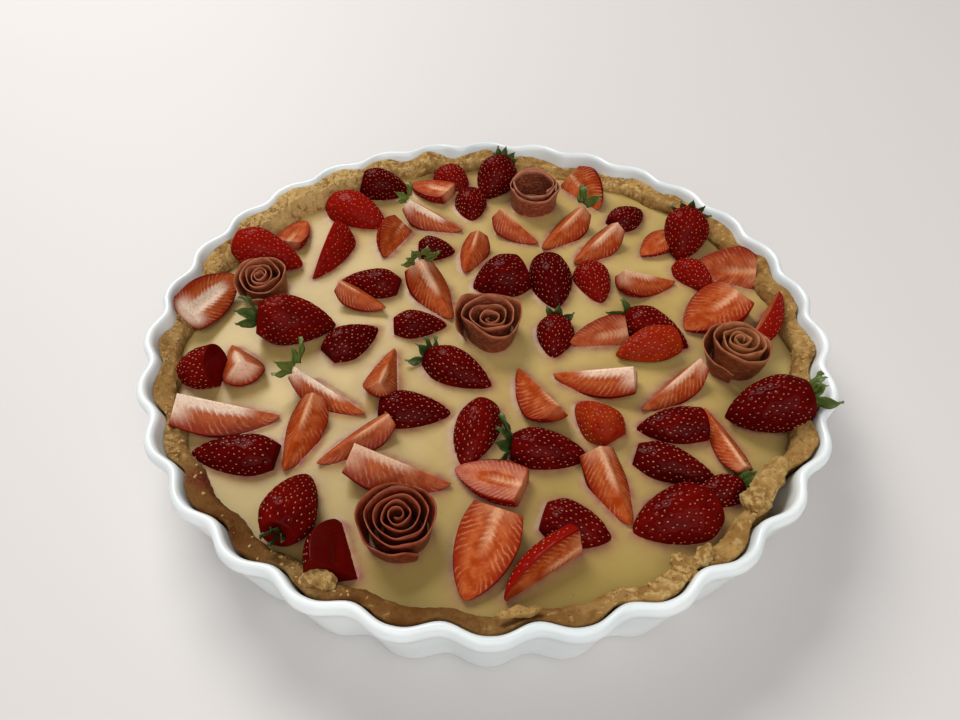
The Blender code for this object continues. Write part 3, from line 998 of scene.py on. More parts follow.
@dataclass(frozen=True)
class Strawberry:
    """One strawberry, or a piece of one, with its flesh, skin, seeds and leaves."""

    name: str
    heading: float              # plan direction of its tip
    length: float
    width: float
    cut: Cut = Cut.SKIN_UP
    blunt: float = 0.6          # radius of the stem end, as a share of the greatest radius
    lift: float = 0.0           # added height where it lies on pastry or another piece
    tone: float = 0.35          # 0 is maroon, 1 is orange red
    pale: float = 0.5           # how pale its core and blunt end are; below 0 its cut faces are painted dark as shade
    at: tuple[float, float] | None = None       # middle on the plan, if no solid gives it
    shift: tuple[float, float] = (0.0, 0.0)     # from its solid's middle
    calyx: Calyx | None = None

    @property
    def seed_value(self) -> int:
        """Repeatable seed for this piece's own chance."""
        return sum((index + 3) * ord(letter) for index, letter in enumerate(self.name))

    def radius(self, share: float) -> float:
        """Radius at a share of the length, from the stem end to the tip, in millimetres."""
        if share < WIDEST:
            rise = math.sin(0.5 * math.pi * share / WIDEST)
            fraction = self.blunt + (1.0 - self.blunt) * rise
        else:
            fraction = (1.0 - ((share - WIDEST) / (1.0 - WIDEST)) ** 1.7) ** 0.72
        return 0.5 * self.width * fraction

    def sector(self) -> tuple[float, float]:
        """Start and extent, in degrees, of what the cuts leave round the core."""
        if not self.cut.value:
            return 0.0, 360.0
        start = max(self.cut.value) + 90.0
        return start, min(self.cut.value) + 270.0 - start

    def pose(self, bed: float) -> Matrix:
        """Matrix that lays the piece down, tip lowered so that it rests on the custard.

        Args:
            bed: Height of the custard's top in millimetres.

        Returns:
            The matrix, still centred on the plan.
        """
        half = 0.5 * self.width
        core = self.cut.core_share * half
        drop = max(core - 2.0, 0.0) / ((1.0 - WIDEST) * self.length)
        middle = core - (0.5 - WIDEST) * self.length * drop + self.lift
        turn = Matrix.Rotation(math.radians(self.heading), 4, "Z")
        lay = Matrix.Translation(Vector((0.0, 0.0, bed + middle)) * MM)
        return lay @ turn @ Matrix.Rotation(math.asin(drop), 4, "Y")

    def profile(self, spacing: float, rows: int) -> list[tuple[float, float]]:
        """Points along the outline, as share of the length and radius in millimetres.

        Args:
            spacing: Distance between points along the side, in millimetres.
            rows: Number of points across the blunt end.

        Returns:
            The points, from the middle of the blunt end to the tip.
        """
        points = [(0.0, self.radius(0.0) * row / rows) for row in range(rows + 1)]
        before = points[-1]
        travelled = 0.0
        for step in range(1, 301):
            share = 1.0 - (1.0 - step / 300.0) ** 1.6
            after = (share, self.radius(share))
            travelled += math.hypot((share - before[0]) * self.length, after[1] - before[1])
            before = after
            if travelled >= spacing:
                points.append(after)
                travelled = 0.0
        points[-1] = before
        return points

    def wobble(self, share: float, angle: float) -> float:
        """Factor that makes the round body a little uneven."""
        chance = random.Random(self.seed_value)
        first, second, third = (chance.uniform(0.0, math.tau) for _ in range(3))
        return (1.0 + 0.035 * math.cos(2.0 * angle + first)
                + 0.022 * math.cos(3.0 * angle + second + 4.0 * share)
                + 0.02 * math.sin(7.0 * share + third))


@dataclass
class StrawberryMaker:
    """Models strawberries and remembers where they meet the custard."""

    bed: float
    ceiling: float              # height that no leaf passes
    spacing: float = 0.62
    dimple_depth: float = 0.45
    dimple_radius: float = 0.85
    seed_share: float = 8.9     # seeds on a whole berry, for each millimetre of its mean size
    sunk: float = 0.8           # how deep the pieces reach into the custard
    skin: SkinFinish = field(default_factory=SkinFinish)
    flesh: FleshFinish = field(default_factory=FleshFinish)
    seed: SeedFinish = field(default_factory=SeedFinish)
    leaf: LeafFinish = field(default_factory=LeafFinish)
    footprints: list[Vector] = field(default_factory=list)
    materials: list[bpy.types.Material] = field(default_factory=list)

    SKIN, FLESH, SEED, LEAF = range(4)

    def dress(self) -> list[bpy.types.Material]:
        """The shared materials, in the order of the faces' indices."""
        if not self.materials:
            self.materials = [finish.material() for finish in (
                self.skin, self.flesh, self.seed, self.leaf)]
        return self.materials

    def sweep(self, berry: Strawberry) -> bmesh.types.BMesh:
        """Turn the outline about the core, and close the cut faces with a grid.

        Args:
            berry: The piece to model.

        Returns:
            The closed body in the berry's own frame, where X runs along its core.
        """
        start, extent = berry.sector()
        rows = max(4, round(0.5 * berry.width))
        bm = bmesh.new()
        turn = math.radians(start)
        outline = []
        for share, radius in berry.profile(self.spacing, rows):
            along = berry.length * (share - 0.5)
            outline.append(bm.verts.new(Vector(
                (along, radius * math.cos(turn), radius * math.sin(turn))) * MM))
        edges = [bm.edges.new(pair) for pair in zip(outline, outline[1:])]
        steps = max(12, round(math.radians(extent) * 0.5 * berry.width / self.spacing))
        swept = bmesh.ops.spin(
            bm, geom=outline + edges, cent=(0, 0, 0), axis=(1, 0, 0), dvec=(0, 0, 0),
            angle=math.radians(extent), steps=steps, use_merge=extent == 360.0)
        stem = -0.4999 * berry.length * MM
        if berry.cut not in (Cut.WHOLE, Cut.SKIN_UP):
            for face in bm.faces:
                if face.calc_center_median().x < stem:
                    face.material_index = self.FLESH
        if extent < 360.0:
            last = [item for item in swept["geom_last"] if isinstance(item, bmesh.types.BMEdge)]
            for border in (edges, last):
                side = [edge for edge in border if max(vert.co.x for vert in edge.verts) > stem]
                self.fill_cut(bm, side, rows)
        bmesh.ops.remove_doubles(bm, verts=bm.verts, dist=0.02 * MM)
        bmesh.ops.recalc_face_normals(bm, faces=bm.faces)
        return bm

    def fill_cut(self, bm: bmesh.types.BMesh, border: list[bmesh.types.BMEdge],
                 rows: int) -> None:
        """Fill one cut face with rows of faces from the skin down to the core.

        Args:
            bm: Mesh to build in.
            border: Edges of the outline on that face.
            rows: Number of rows.
        """
        share = 1.0
        for row in range(rows):
            after = 1.0 - (row + 1) / rows
            grown = bmesh.ops.extrude_edge_only(bm, edges=border)["geom"]
            faces = [item for item in grown if isinstance(item, bmesh.types.BMFace)]
            moved = {item for item in grown if isinstance(item, bmesh.types.BMVert)}
            for vert in moved:
                vert.co.y *= after / share
                vert.co.z *= after / share
            for face in faces:
                face.material_index = self.FLESH
            border = [item for item in grown if isinstance(item, bmesh.types.BMEdge)
                      and moved.issuperset(item.verts)]
            share = after

    def seed_spots(self, berry: Strawberry) -> list[tuple[Vector, Vector]]:
        """Places of the seeds on what the cuts leave, in the berry's own frame.

        Args:
            berry: The piece to model.

        Returns:
            A place in metres and an outward direction for each seed.
        """
        chance = random.Random(berry.seed_value + 1)
        start, extent = berry.sector()
        stations = [step / 200.0 for step in range(201)]
        areas = [berry.radius(share) for share in stations]
        total = sum(areas)
        count = round(self.seed_share * math.sqrt(berry.width * berry.length))
        spots = []
        gathered = 0.0
        station = 0
        for index in range(count):
            goal = total * (index + 0.6) / count
            while gathered + areas[station] < goal:
                gathered += areas[station]
                station += 1
            share = stations[station] + (goal - gathered) / areas[station] / 200.0
            share += chance.uniform(-0.009, 0.009)
            if not 0.05 < share < 0.985:
                continue
            angle = (index * GOLDEN_ANGLE + berry.seed_value + chance.uniform(-0.1, 0.1)) % math.tau
            radius = berry.radius(share) * berry.wobble(share, angle)
            margin = math.degrees(1.1 / max(radius, 1.2))
            into = (math.degrees(angle) - start) % 360.0
            if extent < 360.0 and not margin < into < extent - margin:
                continue
            slope = (berry.radius(min(share + 0.02, 1.0)) - berry.radius(share - 0.02)) / (
                0.04 * berry.length)
            outward = Vector((-slope, math.cos(angle), math.sin(angle))).normalized()
            place = Vector((berry.length * (share - 0.5), radius * math.cos(angle),
                            radius * math.sin(angle))) * MM
            spots.append((place, outward))
        return spots

    def press_dimples(self, bm: bmesh.types.BMesh, spots: list[tuple[Vector, Vector]]) -> None:
        """Sink the skin round each seed."""
        tree = kdtree.KDTree(len(spots))
        for index, (place, _) in enumerate(spots):
            tree.insert(place, index)
        tree.balance()
        for vert in bm.verts:
            if any(face.material_index == self.FLESH for face in vert.link_faces):
                continue
            _, index, distance = tree.find(vert.co)
            if index is None or distance > 3.0 * self.dimple_radius * MM:
                continue
            near = distance / MM / self.dimple_radius
            vert.co -= spots[index][1] * (self.dimple_depth * math.exp(-near * near)) * MM

    def relax_cut(self, bm: bmesh.types.BMesh, berry: Strawberry) -> None:
        """Round the rim of the cut faces, and sink the core a little.

        Args:
            bm: The body in its own frame.
            berry: The piece.
        """
        rim = []
        for vert in bm.verts:
            kinds = {face.material_index for face in vert.link_faces}
            if len(kinds) > 1:
                rim.append(vert)
            elif kinds == {self.FLESH}:
                reach = math.hypot(vert.co.y, vert.co.z) / (0.5 * berry.width * MM)
                share = vert.co.x / (berry.length * MM) + 0.5
                if berry.cut.name.startswith("FACE") and reach < 0.3:
                    hollow = 0.9 * smoothstep(0.3, 0.0, reach)
                    hollow *= smoothstep(0.02, 0.2, share) * smoothstep(0.75, 0.4, share)
                    vert.co -= vert.normal * hollow * MM
        bmesh.ops.smooth_vert(bm, verts=rim, factor=0.5, use_axis_x=True, use_axis_y=True,
                              use_axis_z=True)

    def number(self, bm: bmesh.types.BMesh, berry: Strawberry) -> None:
        """Write the berry's own coordinates and colouring on its points.

        Args:
            bm: The body in its own frame.
            berry: The piece.
        """
        local = vector_layer(bm, "berry")
        plain = {"tone": berry.tone, "pale": berry.pale, "blunt": berry.blunt, "fresh": 0.0}
        layers = {name: float_layer(bm, name) for name in plain}
        half = 0.5 * berry.width * MM
        for vert in bm.verts:
            vert[local] = Vector((vert.co.x / (berry.length * MM) + 0.5, vert.co.y / half,
                                  vert.co.z / half))
            for name, layer in layers.items():
                vert[layer] = plain[name]

    def add_seeds(self, bm: bmesh.types.BMesh, spots: list[tuple[Vector, Vector]],
                  place: Matrix, chance: random.Random) -> None:
        """Set a seed in each dimple that shows above the custard.

        Args:
            bm: The body, already in its place.
            spots: Places and outward directions in the berry's own frame.
            place: Matrix from that frame to the tart's.
            chance: The piece's own chance.
        """
        turn = place.to_3x3()
        forward = turn @ Vector((1.0, 0.0, 0.0))
        for spot, outward in spots:
            out = (turn @ outward).normalized()
            centre = place @ spot - out * (0.72 * self.dimple_depth) * MM
            if centre.z < (self.bed + 0.4) * MM:
                continue
            side = out.cross(forward).normalized()
            along = side.cross(out)
            size = chance.uniform(0.85, 1.12)
            frame = Matrix((along, side, out)).transposed().to_4x4()
            shape = Matrix.Diagonal((0.50 * size, 0.27 * size, 0.26, 1.0))
            made = bmesh.ops.create_icosphere(
                bm, subdivisions=1, radius=MM,
                matrix=Matrix.Translation(centre) @ frame @ shape)
            for face in {face for vert in made["verts"] for face in vert.link_faces}:
                face.material_index = self.SEED

    def add_calyx(self, bm: bmesh.types.BMesh, berry: Strawberry, place: Matrix,
                  chance: random.Random) -> None:
        """Set the leaves, and a stalk if there is one, on the blunt end.

        Args:
            bm: The body, already in its place.
            berry: The piece.
            place: Matrix from the berry's frame to the tart's.
            chance: The piece's own chance.
        """
        calyx = berry.calyx
        if calyx is None:
            return
        fresh = float_layer(bm, "fresh")
        for index in range(calyx.count):
            share = (index + 0.5) / calyx.count - 0.5
            roll = math.radians(calyx.middle + calyx.fan * share + chance.uniform(-12, 12))
            splay = math.radians(calyx.splay + chance.uniform(-14, 14))
            length = calyx.length * chance.uniform(0.75, 1.15)
            known = set(bm.verts)
            made = bmesh.ops.create_grid(bm, x_segments=9, y_segments=4, size=0.5)["verts"]
            curl = chance.uniform(0.10, 0.34)
            for vert in made:
                along = vert.co.x + 0.5
                across = 2.0 * vert.co.y
                broad = max(math.sin(math.pi * min(along + 0.10, 1.0) ** 0.85), 0.02) ** 0.6
                rise = curl * along * math.sin(2.6 * along) + 0.12 * abs(across)
                rise += 0.05 * math.sin(9.0 * along + 3.0 * index) * across
                vert.co = Vector((along * length, 0.5 * across * calyx.width * broad,
                                  rise * length)) * MM
                vert[fresh] = calyx.fresh + 0.3 * along
            faces = list({face for vert in made for face in vert.link_faces})
            bmesh.ops.solidify(bm, geom=faces, thickness=0.35 * MM)
            leaf = [vert for vert in bm.verts if vert not in known]
            self.place_leaf(leaf, berry, place, roll, splay)
        if calyx.stalk:
            self.add_stalk(bm, berry, place, fresh)

    def place_leaf(self, leaf: list[bmesh.types.BMVert], berry: Strawberry, place: Matrix,
                   roll: float, splay: float) -> None:
        """Lay one leaf out from the blunt end.

        Args:
            leaf: Points of the leaf, which starts at the origin and runs along X.
            berry: The piece.
            place: Matrix from the berry's frame to the tart's.
            roll: Direction round the berry, in radians.
            splay: Angle from straight back, in radians.
        """
        outward = Vector((0.0, math.cos(roll), math.sin(roll)))
        back = Vector((-1.0, 0.0, 0.0))
        along = (back * math.cos(splay) + outward * math.sin(splay)).normalized()
        above = (outward * math.cos(splay) - back * math.sin(splay)).normalized()
        side = above.cross(along)
        foot = back * (0.5 * berry.length) + outward * (0.30 * berry.radius(0.0))
        frame = Matrix((along, side, above)).transposed().to_4x4()
        matrix = place @ Matrix.Translation(foot * MM) @ frame
        floor, ceiling = (self.bed + 0.5) * MM, (self.ceiling - 1.5) * MM
        for vert in leaf:
            vert.co = matrix @ vert.co
            if vert.co.z < floor:
                vert.co.z = floor + 0.25 * (vert.co.z - floor)
            elif vert.co.z > ceiling:
                vert.co.z = ceiling + 0.15 * (vert.co.z - ceiling)
            for face in vert.link_faces:
                face.material_index = self.LEAF

    def add_stalk(self, bm: bmesh.types.BMesh, berry: Strawberry, place: Matrix,
                  fresh: bmesh.types.BMLayerItem) -> None:
        """Set a short curved stalk behind the blunt end.

        Args:
            bm: The body, already in its place.
            berry: The piece.
            place: Matrix from the berry's frame to the tart's.
            fresh: Layer that holds how fresh a leaf is.
        """
        stalk = berry.calyx.stalk
        lie = Matrix.Translation(Vector((-0.5 * berry.length, 0.0, 0.0)) * MM)
        ring = bmesh.ops.create_circle(
            bm, cap_ends=True, segments=8, radius=0.75 * MM,
            matrix=lie @ Matrix.Rotation(math.radians(-90.0), 4, "Y"))["verts"]
        face = ring[0].link_faces[0]
        verts = list(ring)
        bends = 6
        for step in range(bends):
            inner = face
            grown = bmesh.ops.extrude_face_region(bm, geom=[inner])["geom"]
            ring = [item for item in grown if isinstance(item, bmesh.types.BMVert)]
            face = next(item for item in grown if isinstance(item, bmesh.types.BMFace))
            if step:
                bmesh.ops.delete(bm, geom=[inner], context="FACES_ONLY")
            rise = 0.7 * stalk * (step + 0.5) / bends / bends
            bmesh.ops.translate(bm, vec=Vector((-stalk / bends, 0.0, rise)) * MM, verts=ring)
            verts += ring
        for vert in verts:
            vert[fresh] = berry.calyx.fresh + 0.1
            for side in vert.link_faces:
                side.material_index = self.LEAF
        bmesh.ops.transform(bm, matrix=place, verts=verts)

    def settle(self, bm: bmesh.types.BMesh, berry: Strawberry) -> Matrix:
        """Lay the body down in its place.

        Args:
            bm: The body in its own frame.
            berry: The piece.

        Returns:
            Matrix from the berry's frame to the tart's.
        """
        place = berry.pose(self.bed)
        bmesh.ops.transform(bm, matrix=place, verts=bm.verts)
        if berry.at is None:
            low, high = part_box("berry_" + berry.name)
            floor = self.bed * MM
            shown = [vert.co for vert in bm.verts if vert.co.z > floor]
            middle = Vector((0.5 * (min(co.x for co in shown) + max(co.x for co in shown)),
                             0.5 * (min(co.y for co in shown) + max(co.y for co in shown))))
            goal = 0.5 * (low + high).to_2d() + Vector(berry.shift) * MM
            move = (goal - middle).to_3d()
        else:
            move = Vector((*berry.at, 0.0)) * MM
        bmesh.ops.translate(bm, vec=move, verts=bm.verts)
        return Matrix.Translation(move) @ place

    def build(self, berry: Strawberry) -> bpy.types.Object:
        """Make one piece.

        Args:
            berry: The piece to model.

        Returns:
            The finished piece.
        """
        chance = random.Random(berry.seed_value)
        bm = self.sweep(berry)
        for vert in bm.verts:
            factor = berry.wobble(vert.co.x / (berry.length * MM) + 0.5,
                                  math.atan2(vert.co.z, vert.co.y))
            vert.co.y *= factor
            vert.co.z *= factor
        spots = self.seed_spots(berry)
        bm.normal_update()
        self.press_dimples(bm, spots)
        self.relax_cut(bm, berry)
        self.number(bm, berry)
        place = self.settle(bm, berry)
        cut = bmesh.ops.bisect_plane(
            bm, geom=list(bm.verts) + list(bm.edges) + list(bm.faces), dist=0.001 * MM,
            plane_co=(0, 0, (self.bed - self.sunk) * MM), plane_no=(0, 0, -1), clear_outer=True)
        rim = [item for item in cut["geom_cut"] if isinstance(item, bmesh.types.BMEdge)]
        if rim:
            bmesh.ops.edgeloop_fill(bm, edges=rim)
        for vert in bm.verts:
            if abs(vert.co.z - self.bed * MM) < 0.8 * MM:
                self.footprints.append(vert.co.copy())
        self.add_seeds(bm, spots, place, chance)
        self.add_calyx(bm, berry, place, chance)
        nodes = ["berry_" + berry.name] if berry.at is None else []
        return finish_piece("strawberry_" + berry.name, bm, self.dress(), nodes)


# ---------------------------------------------------------------- fruit roses


@dataclass(frozen=True)
class FruitRose:
    """A rose rolled from a thin ribbon of poached fruit."""

    name: str
    finish: RibbonFinish
    turns: float                # how often the ribbon goes round
    end: float                  # plan direction of the ribbon's outer end
    flare: float = 0.84         # radius at the foot, as a share of the radius at the rim
    sink: float = 0.3           # how far the middle lies below the rim, as a share of the height
    core: float = 0.10          # radius of the innermost turn, as a share of the whole
    spread: float = 1.25        # above 1, the outer turns lie further apart
    corners: float = 0.0        # how far the turns bulge into petals, as a share of the radius
    petals: int = 3
    wave: float = 0.05          # waviness of the top edge, as a share of the height
    outer_drop: float = 0.12    # how far the last turn lies below the one inside it
    tilt: tuple[float, float] = (0.0, 0.0)      # lean about X and about Y
    thickness: float = 0.45
    crinkle: float = 1.2
    rows: int = 12
    steps_per_turn: int = 78

    def ribbon_point(self, along: float, up: float, radius: float, height: float) -> Vector:
        """Point of the ribbon.

        Args:
            along: Share of the way from the inner to the outer end.
            up: Share of the way from the foot to the top edge.
            radius: Radius of the rose, in millimetres.
            height: Height of the rose, in millimetres.

        Returns:
            The point in millimetres, from the middle of the foot.
        """
        angle = self.end - 360.0 * self.turns * (1.0 - along)
        turn = math.radians(angle)
        reach = radius * (self.core + (1.0 - self.core) * along ** self.spread)
        foot = 1.0 - (1.0 - self.flare) * along
        reach *= foot + (1.0 - foot) * up ** 0.7
        reach *= 1.0 + self.corners * along * math.cos(self.petals * turn + 5.0 * along)
        last = smoothstep(1.0 - 1.0 / self.turns, 1.0 - 0.6 / self.turns, along)
        top = 1.0 - self.sink * (1.0 - along) ** 1.4 - self.outer_drop * last
        top += self.wave * math.sin(2.3 * turn + 9.0 * along) * (0.4 + along)
        top -= 0.25 * smoothstep(0.985, 1.0, along)
        lip = 0.5 * smoothstep(0.75, 1.0, up) * along
        return Vector(((reach + lip) * math.cos(turn), (reach + lip) * math.sin(turn),
                       height * top * up))

    def build(self, bed: float) -> tuple[bpy.types.Object, list[Vector]]:
        """Make the rose.

        Args:
            bed: Height of the custard's top in millimetres.

        Returns:
            The finished rose, and the points where it meets the custard.
        """
        low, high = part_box("rose_" + self.name)
        radius = 0.25 * ((high.x - low.x) + (high.y - low.y)) / MM / 1.02
        height = (high.z - low.z) / MM
        bm = bmesh.new()
        rise, wrap = (float_layer(bm, name) for name in ("rise", "wrap"))
        steps = round(self.steps_per_turn * self.turns)
        bmesh.ops.create_grid(bm, x_segments=steps, y_segments=self.rows, size=0.5)
        for vert in bm.verts:
            along, up = vert.co.x + 0.5, vert.co.y + 0.5
            vert[rise], vert[wrap] = up, along
            spot = self.ribbon_point(along, up, radius, height)
            uneven = noise.noise_vector(spot / 8.0 + Vector((3.0, radius, 1.7 * along)))
            vert.co = (spot + uneven * self.crinkle * smoothstep(0.0, 0.3, up)) * MM
        bmesh.ops.recalc_face_normals(bm, faces=bm.faces)
        bmesh.ops.solidify(bm, geom=list(bm.faces), thickness=self.thickness * MM)
        bmesh.ops.recalc_face_normals(bm, faces=bm.faces)
        lean = (Matrix.Rotation(math.radians(self.tilt[0]), 4, "X")
                @ Matrix.Rotation(math.radians(self.tilt[1]), 4, "Y"))
        middle = 0.5 * (low + high)
        place = Matrix.Translation(Vector((middle.x, middle.y, (bed - 0.6) * MM)))
        bmesh.ops.transform(bm, matrix=place @ lean, verts=bm.verts)
        feet = [vert.co.copy() for vert in bm.verts if vert[rise] < 0.06]
        for spot in feet:
            spot.z = bed * MM
        piece = finish_piece("fruit_rose_" + self.name, bm, [self.finish.material()],
                             ["rose_" + self.name])
        return piece, feet


# ---------------------------------------------------------------- custard


@dataclass
class Custard:
    """Set custard that fills the pastry case and climbs a little where fruit stands in it."""

    case: PastryCase
    top: float
    footprints: Sequence[Vector]
    spacing: float = 1.0
    climb: float = 0.7
    climb_reach: float = 1.1
    # Reach of the juice tint and painted contact shadow, in millimetres.
    halo_reach: float = 2.3
    rim_climb: float = 0.5
    finish: CustardFinish = field(default_factory=CustardFinish)

    def build(self) -> bpy.types.Object:
        """Make the custard.

        Returns:
            The finished custard.
        """
        tree = kdtree.KDTree(len(self.footprints))
        for index, spot in enumerate(self.footprints):
            tree.insert(Vector((spot.x, spot.y, self.top * MM)), index)
        tree.balance()
        bm = bmesh.new()
        half = 142.0
        segments = round(2.0 * half / self.spacing)
        bmesh.ops.create_grid(bm, x_segments=segments, y_segments=segments, size=half * MM)
        outside = []
        for vert in bm.verts:
            angle = math.degrees(math.atan2(vert.co.y, vert.co.x)) % 360.0
            if vert.co.length > (self.case.custard_edge(angle) + 1.4) * MM:
                outside.append(vert)
        bmesh.ops.delete(bm, geom=outside, context="VERTS")
        bmesh.ops.delete(bm, geom=[vert for vert in bm.verts if len(vert.link_faces) < 2],
                         context="VERTS")
        juice_and_shadow = float_layer(bm, "juice_and_shadow")
        for vert in bm.verts:
            vert.co.z = self.top * MM
            _, _, distance = tree.find(vert.co)
            near = distance / MM
            angle = math.degrees(math.atan2(vert.co.y, vert.co.x)) % 360.0
            shore = self.case.custard_edge(angle) - vert.co.to_2d().length / MM
            # Strength of the juice tint and painted contact shadow, highest where fruit meets the custard.
            vert[juice_and_shadow] = math.exp(-near / self.halo_reach)
            vert.co.z += (self.climb * math.exp(-near / self.climb_reach)
                          + self.rim_climb * math.exp(-max(shore, 0.0) / 1.5)
                          + 0.16 * rough(vert.co, 28.0, 2)) * MM
        rim = [edge for edge in bm.edges if edge.is_boundary]
        grown = bmesh.ops.extrude_edge_only(bm, edges=rim)["geom"]
        foot = {item for item in grown if isinstance(item, bmesh.types.BMVert)}
        for vert in foot:
            vert.co.z = (self.top - 4.0) * MM
        edges = [item for item in grown if isinstance(item, bmesh.types.BMEdge)
                 and foot.issuperset(item.verts)]
        bmesh.ops.edgeloop_fill(bm, edges=edges)
        bmesh.ops.recalc_face_normals(bm, faces=bm.faces)
        return finish_piece("vanilla_custard", bm, [self.finish.material()],
                            ["custard"])


# ---------------------------------------------------------------- stage


@dataclass(frozen=True)
class Lamp:
    """Square soft light aimed at a point over the tart."""

    name: str
    place: tuple[float, float, float]
    size: float
    power: float
    tint: Colour = (1.0, 1.0, 1.0)


@dataclass
class Studio:
    """Plain floor, soft light and the camera."""

    eye: tuple[float, float, float] = (-3.2, -240.7, 263.9)
    down: float = 46.43         # how far the camera looks below the horizon
    roll: float = -0.54
    lens: float = 27.04
    floor_colour: Colour = (0.62, 0.60, 0.59)
    sky: Colour = (1.0, 0.98, 0.96)
    sky_strength: float = 0.2
    lamps: tuple[Lamp, ...] = (
        Lamp("window", (-0.8, 1.4, 1.6), 1.1, 45.0, (1.0, 0.98, 0.95)),
        Lamp("room", (0.3, -1.6, 1.5), 2.6, 44.0, (1.0, 0.98, 0.97)),
    )

    def add_camera(self) -> None:
        """Set up the camera."""
        data = bpy.data.cameras.new("camera")
        data.lens = self.lens
        data.sensor_width = 36.0
        data.clip_start = 0.01
        camera = bpy.data.objects.new("camera", data)
        tip = math.radians(self.down)
        back = Vector((0.0, -math.cos(tip), math.sin(tip)))
        right = Vector((1.0, 0.0, 0.0))
        up = back.cross(right)
        turn = math.radians(self.roll)
        across = right * math.cos(turn) - up * math.sin(turn)
        above = right * math.sin(turn) + up * math.cos(turn)
        axes = Matrix((across, above, back)).transposed().to_4x4()
        camera.matrix_world = Matrix.Translation(Vector(self.eye) * MM) @ axes
        bpy.context.scene.collection.objects.link(camera)
        bpy.context.scene.camera = camera

    def add_lamp(self, lamp: Lamp) -> None:
        """Hang one light."""
        data = bpy.data.lights.new(lamp.name, "AREA")
        data.size = lamp.size
        data.energy = lamp.power
        data.color = lamp.tint
        hung = bpy.data.objects.new(lamp.name, data)
        hung.location = lamp.place
        hung.rotation_mode = "QUATERNION"
        hung.rotation_quaternion = (-Vector(lamp.place)).to_track_quat("-Z", "Y")
        bpy.context.scene.collection.objects.link(hung)

    def add_floor(self) -> None:
        """Lay the floor."""
        bm = bmesh.new()
        bmesh.ops.create_grid(bm, x_segments=1, y_segments=1, size=3.0)
        mesh = bpy.data.meshes.new("floor")
        bm.to_mesh(mesh)
        bm.free()
        floor = bpy.data.objects.new("floor", mesh)
        bpy.context.scene.collection.objects.link(floor)
        bench = NodeBench("floor")
        bench.shader.inputs["Base Color"].default_value = (*self.floor_colour, 1.0)
        bench.shader.inputs["Roughness"].default_value = 0.6
        mesh.materials.append(bench.material)
        floor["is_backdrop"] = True

    def build(self) -> None:
        """Set up the camera, the lights and the floor."""
        self.add_camera()
        for lamp in self.lamps:
            self.add_lamp(lamp)
        self.add_floor()
        world = bpy.data.worlds.new("sky")
        world.use_nodes = True
        sky = world.node_tree.nodes["Background"]
        sky.inputs["Color"].default_value = (*self.sky, 1.0)
        sky.inputs["Strength"].default_value = self.sky_strength
        bpy.context.scene.world = world
        bpy.context.scene.view_settings.view_transform = "Standard"


# ---------------------------------------------------------------- the tart

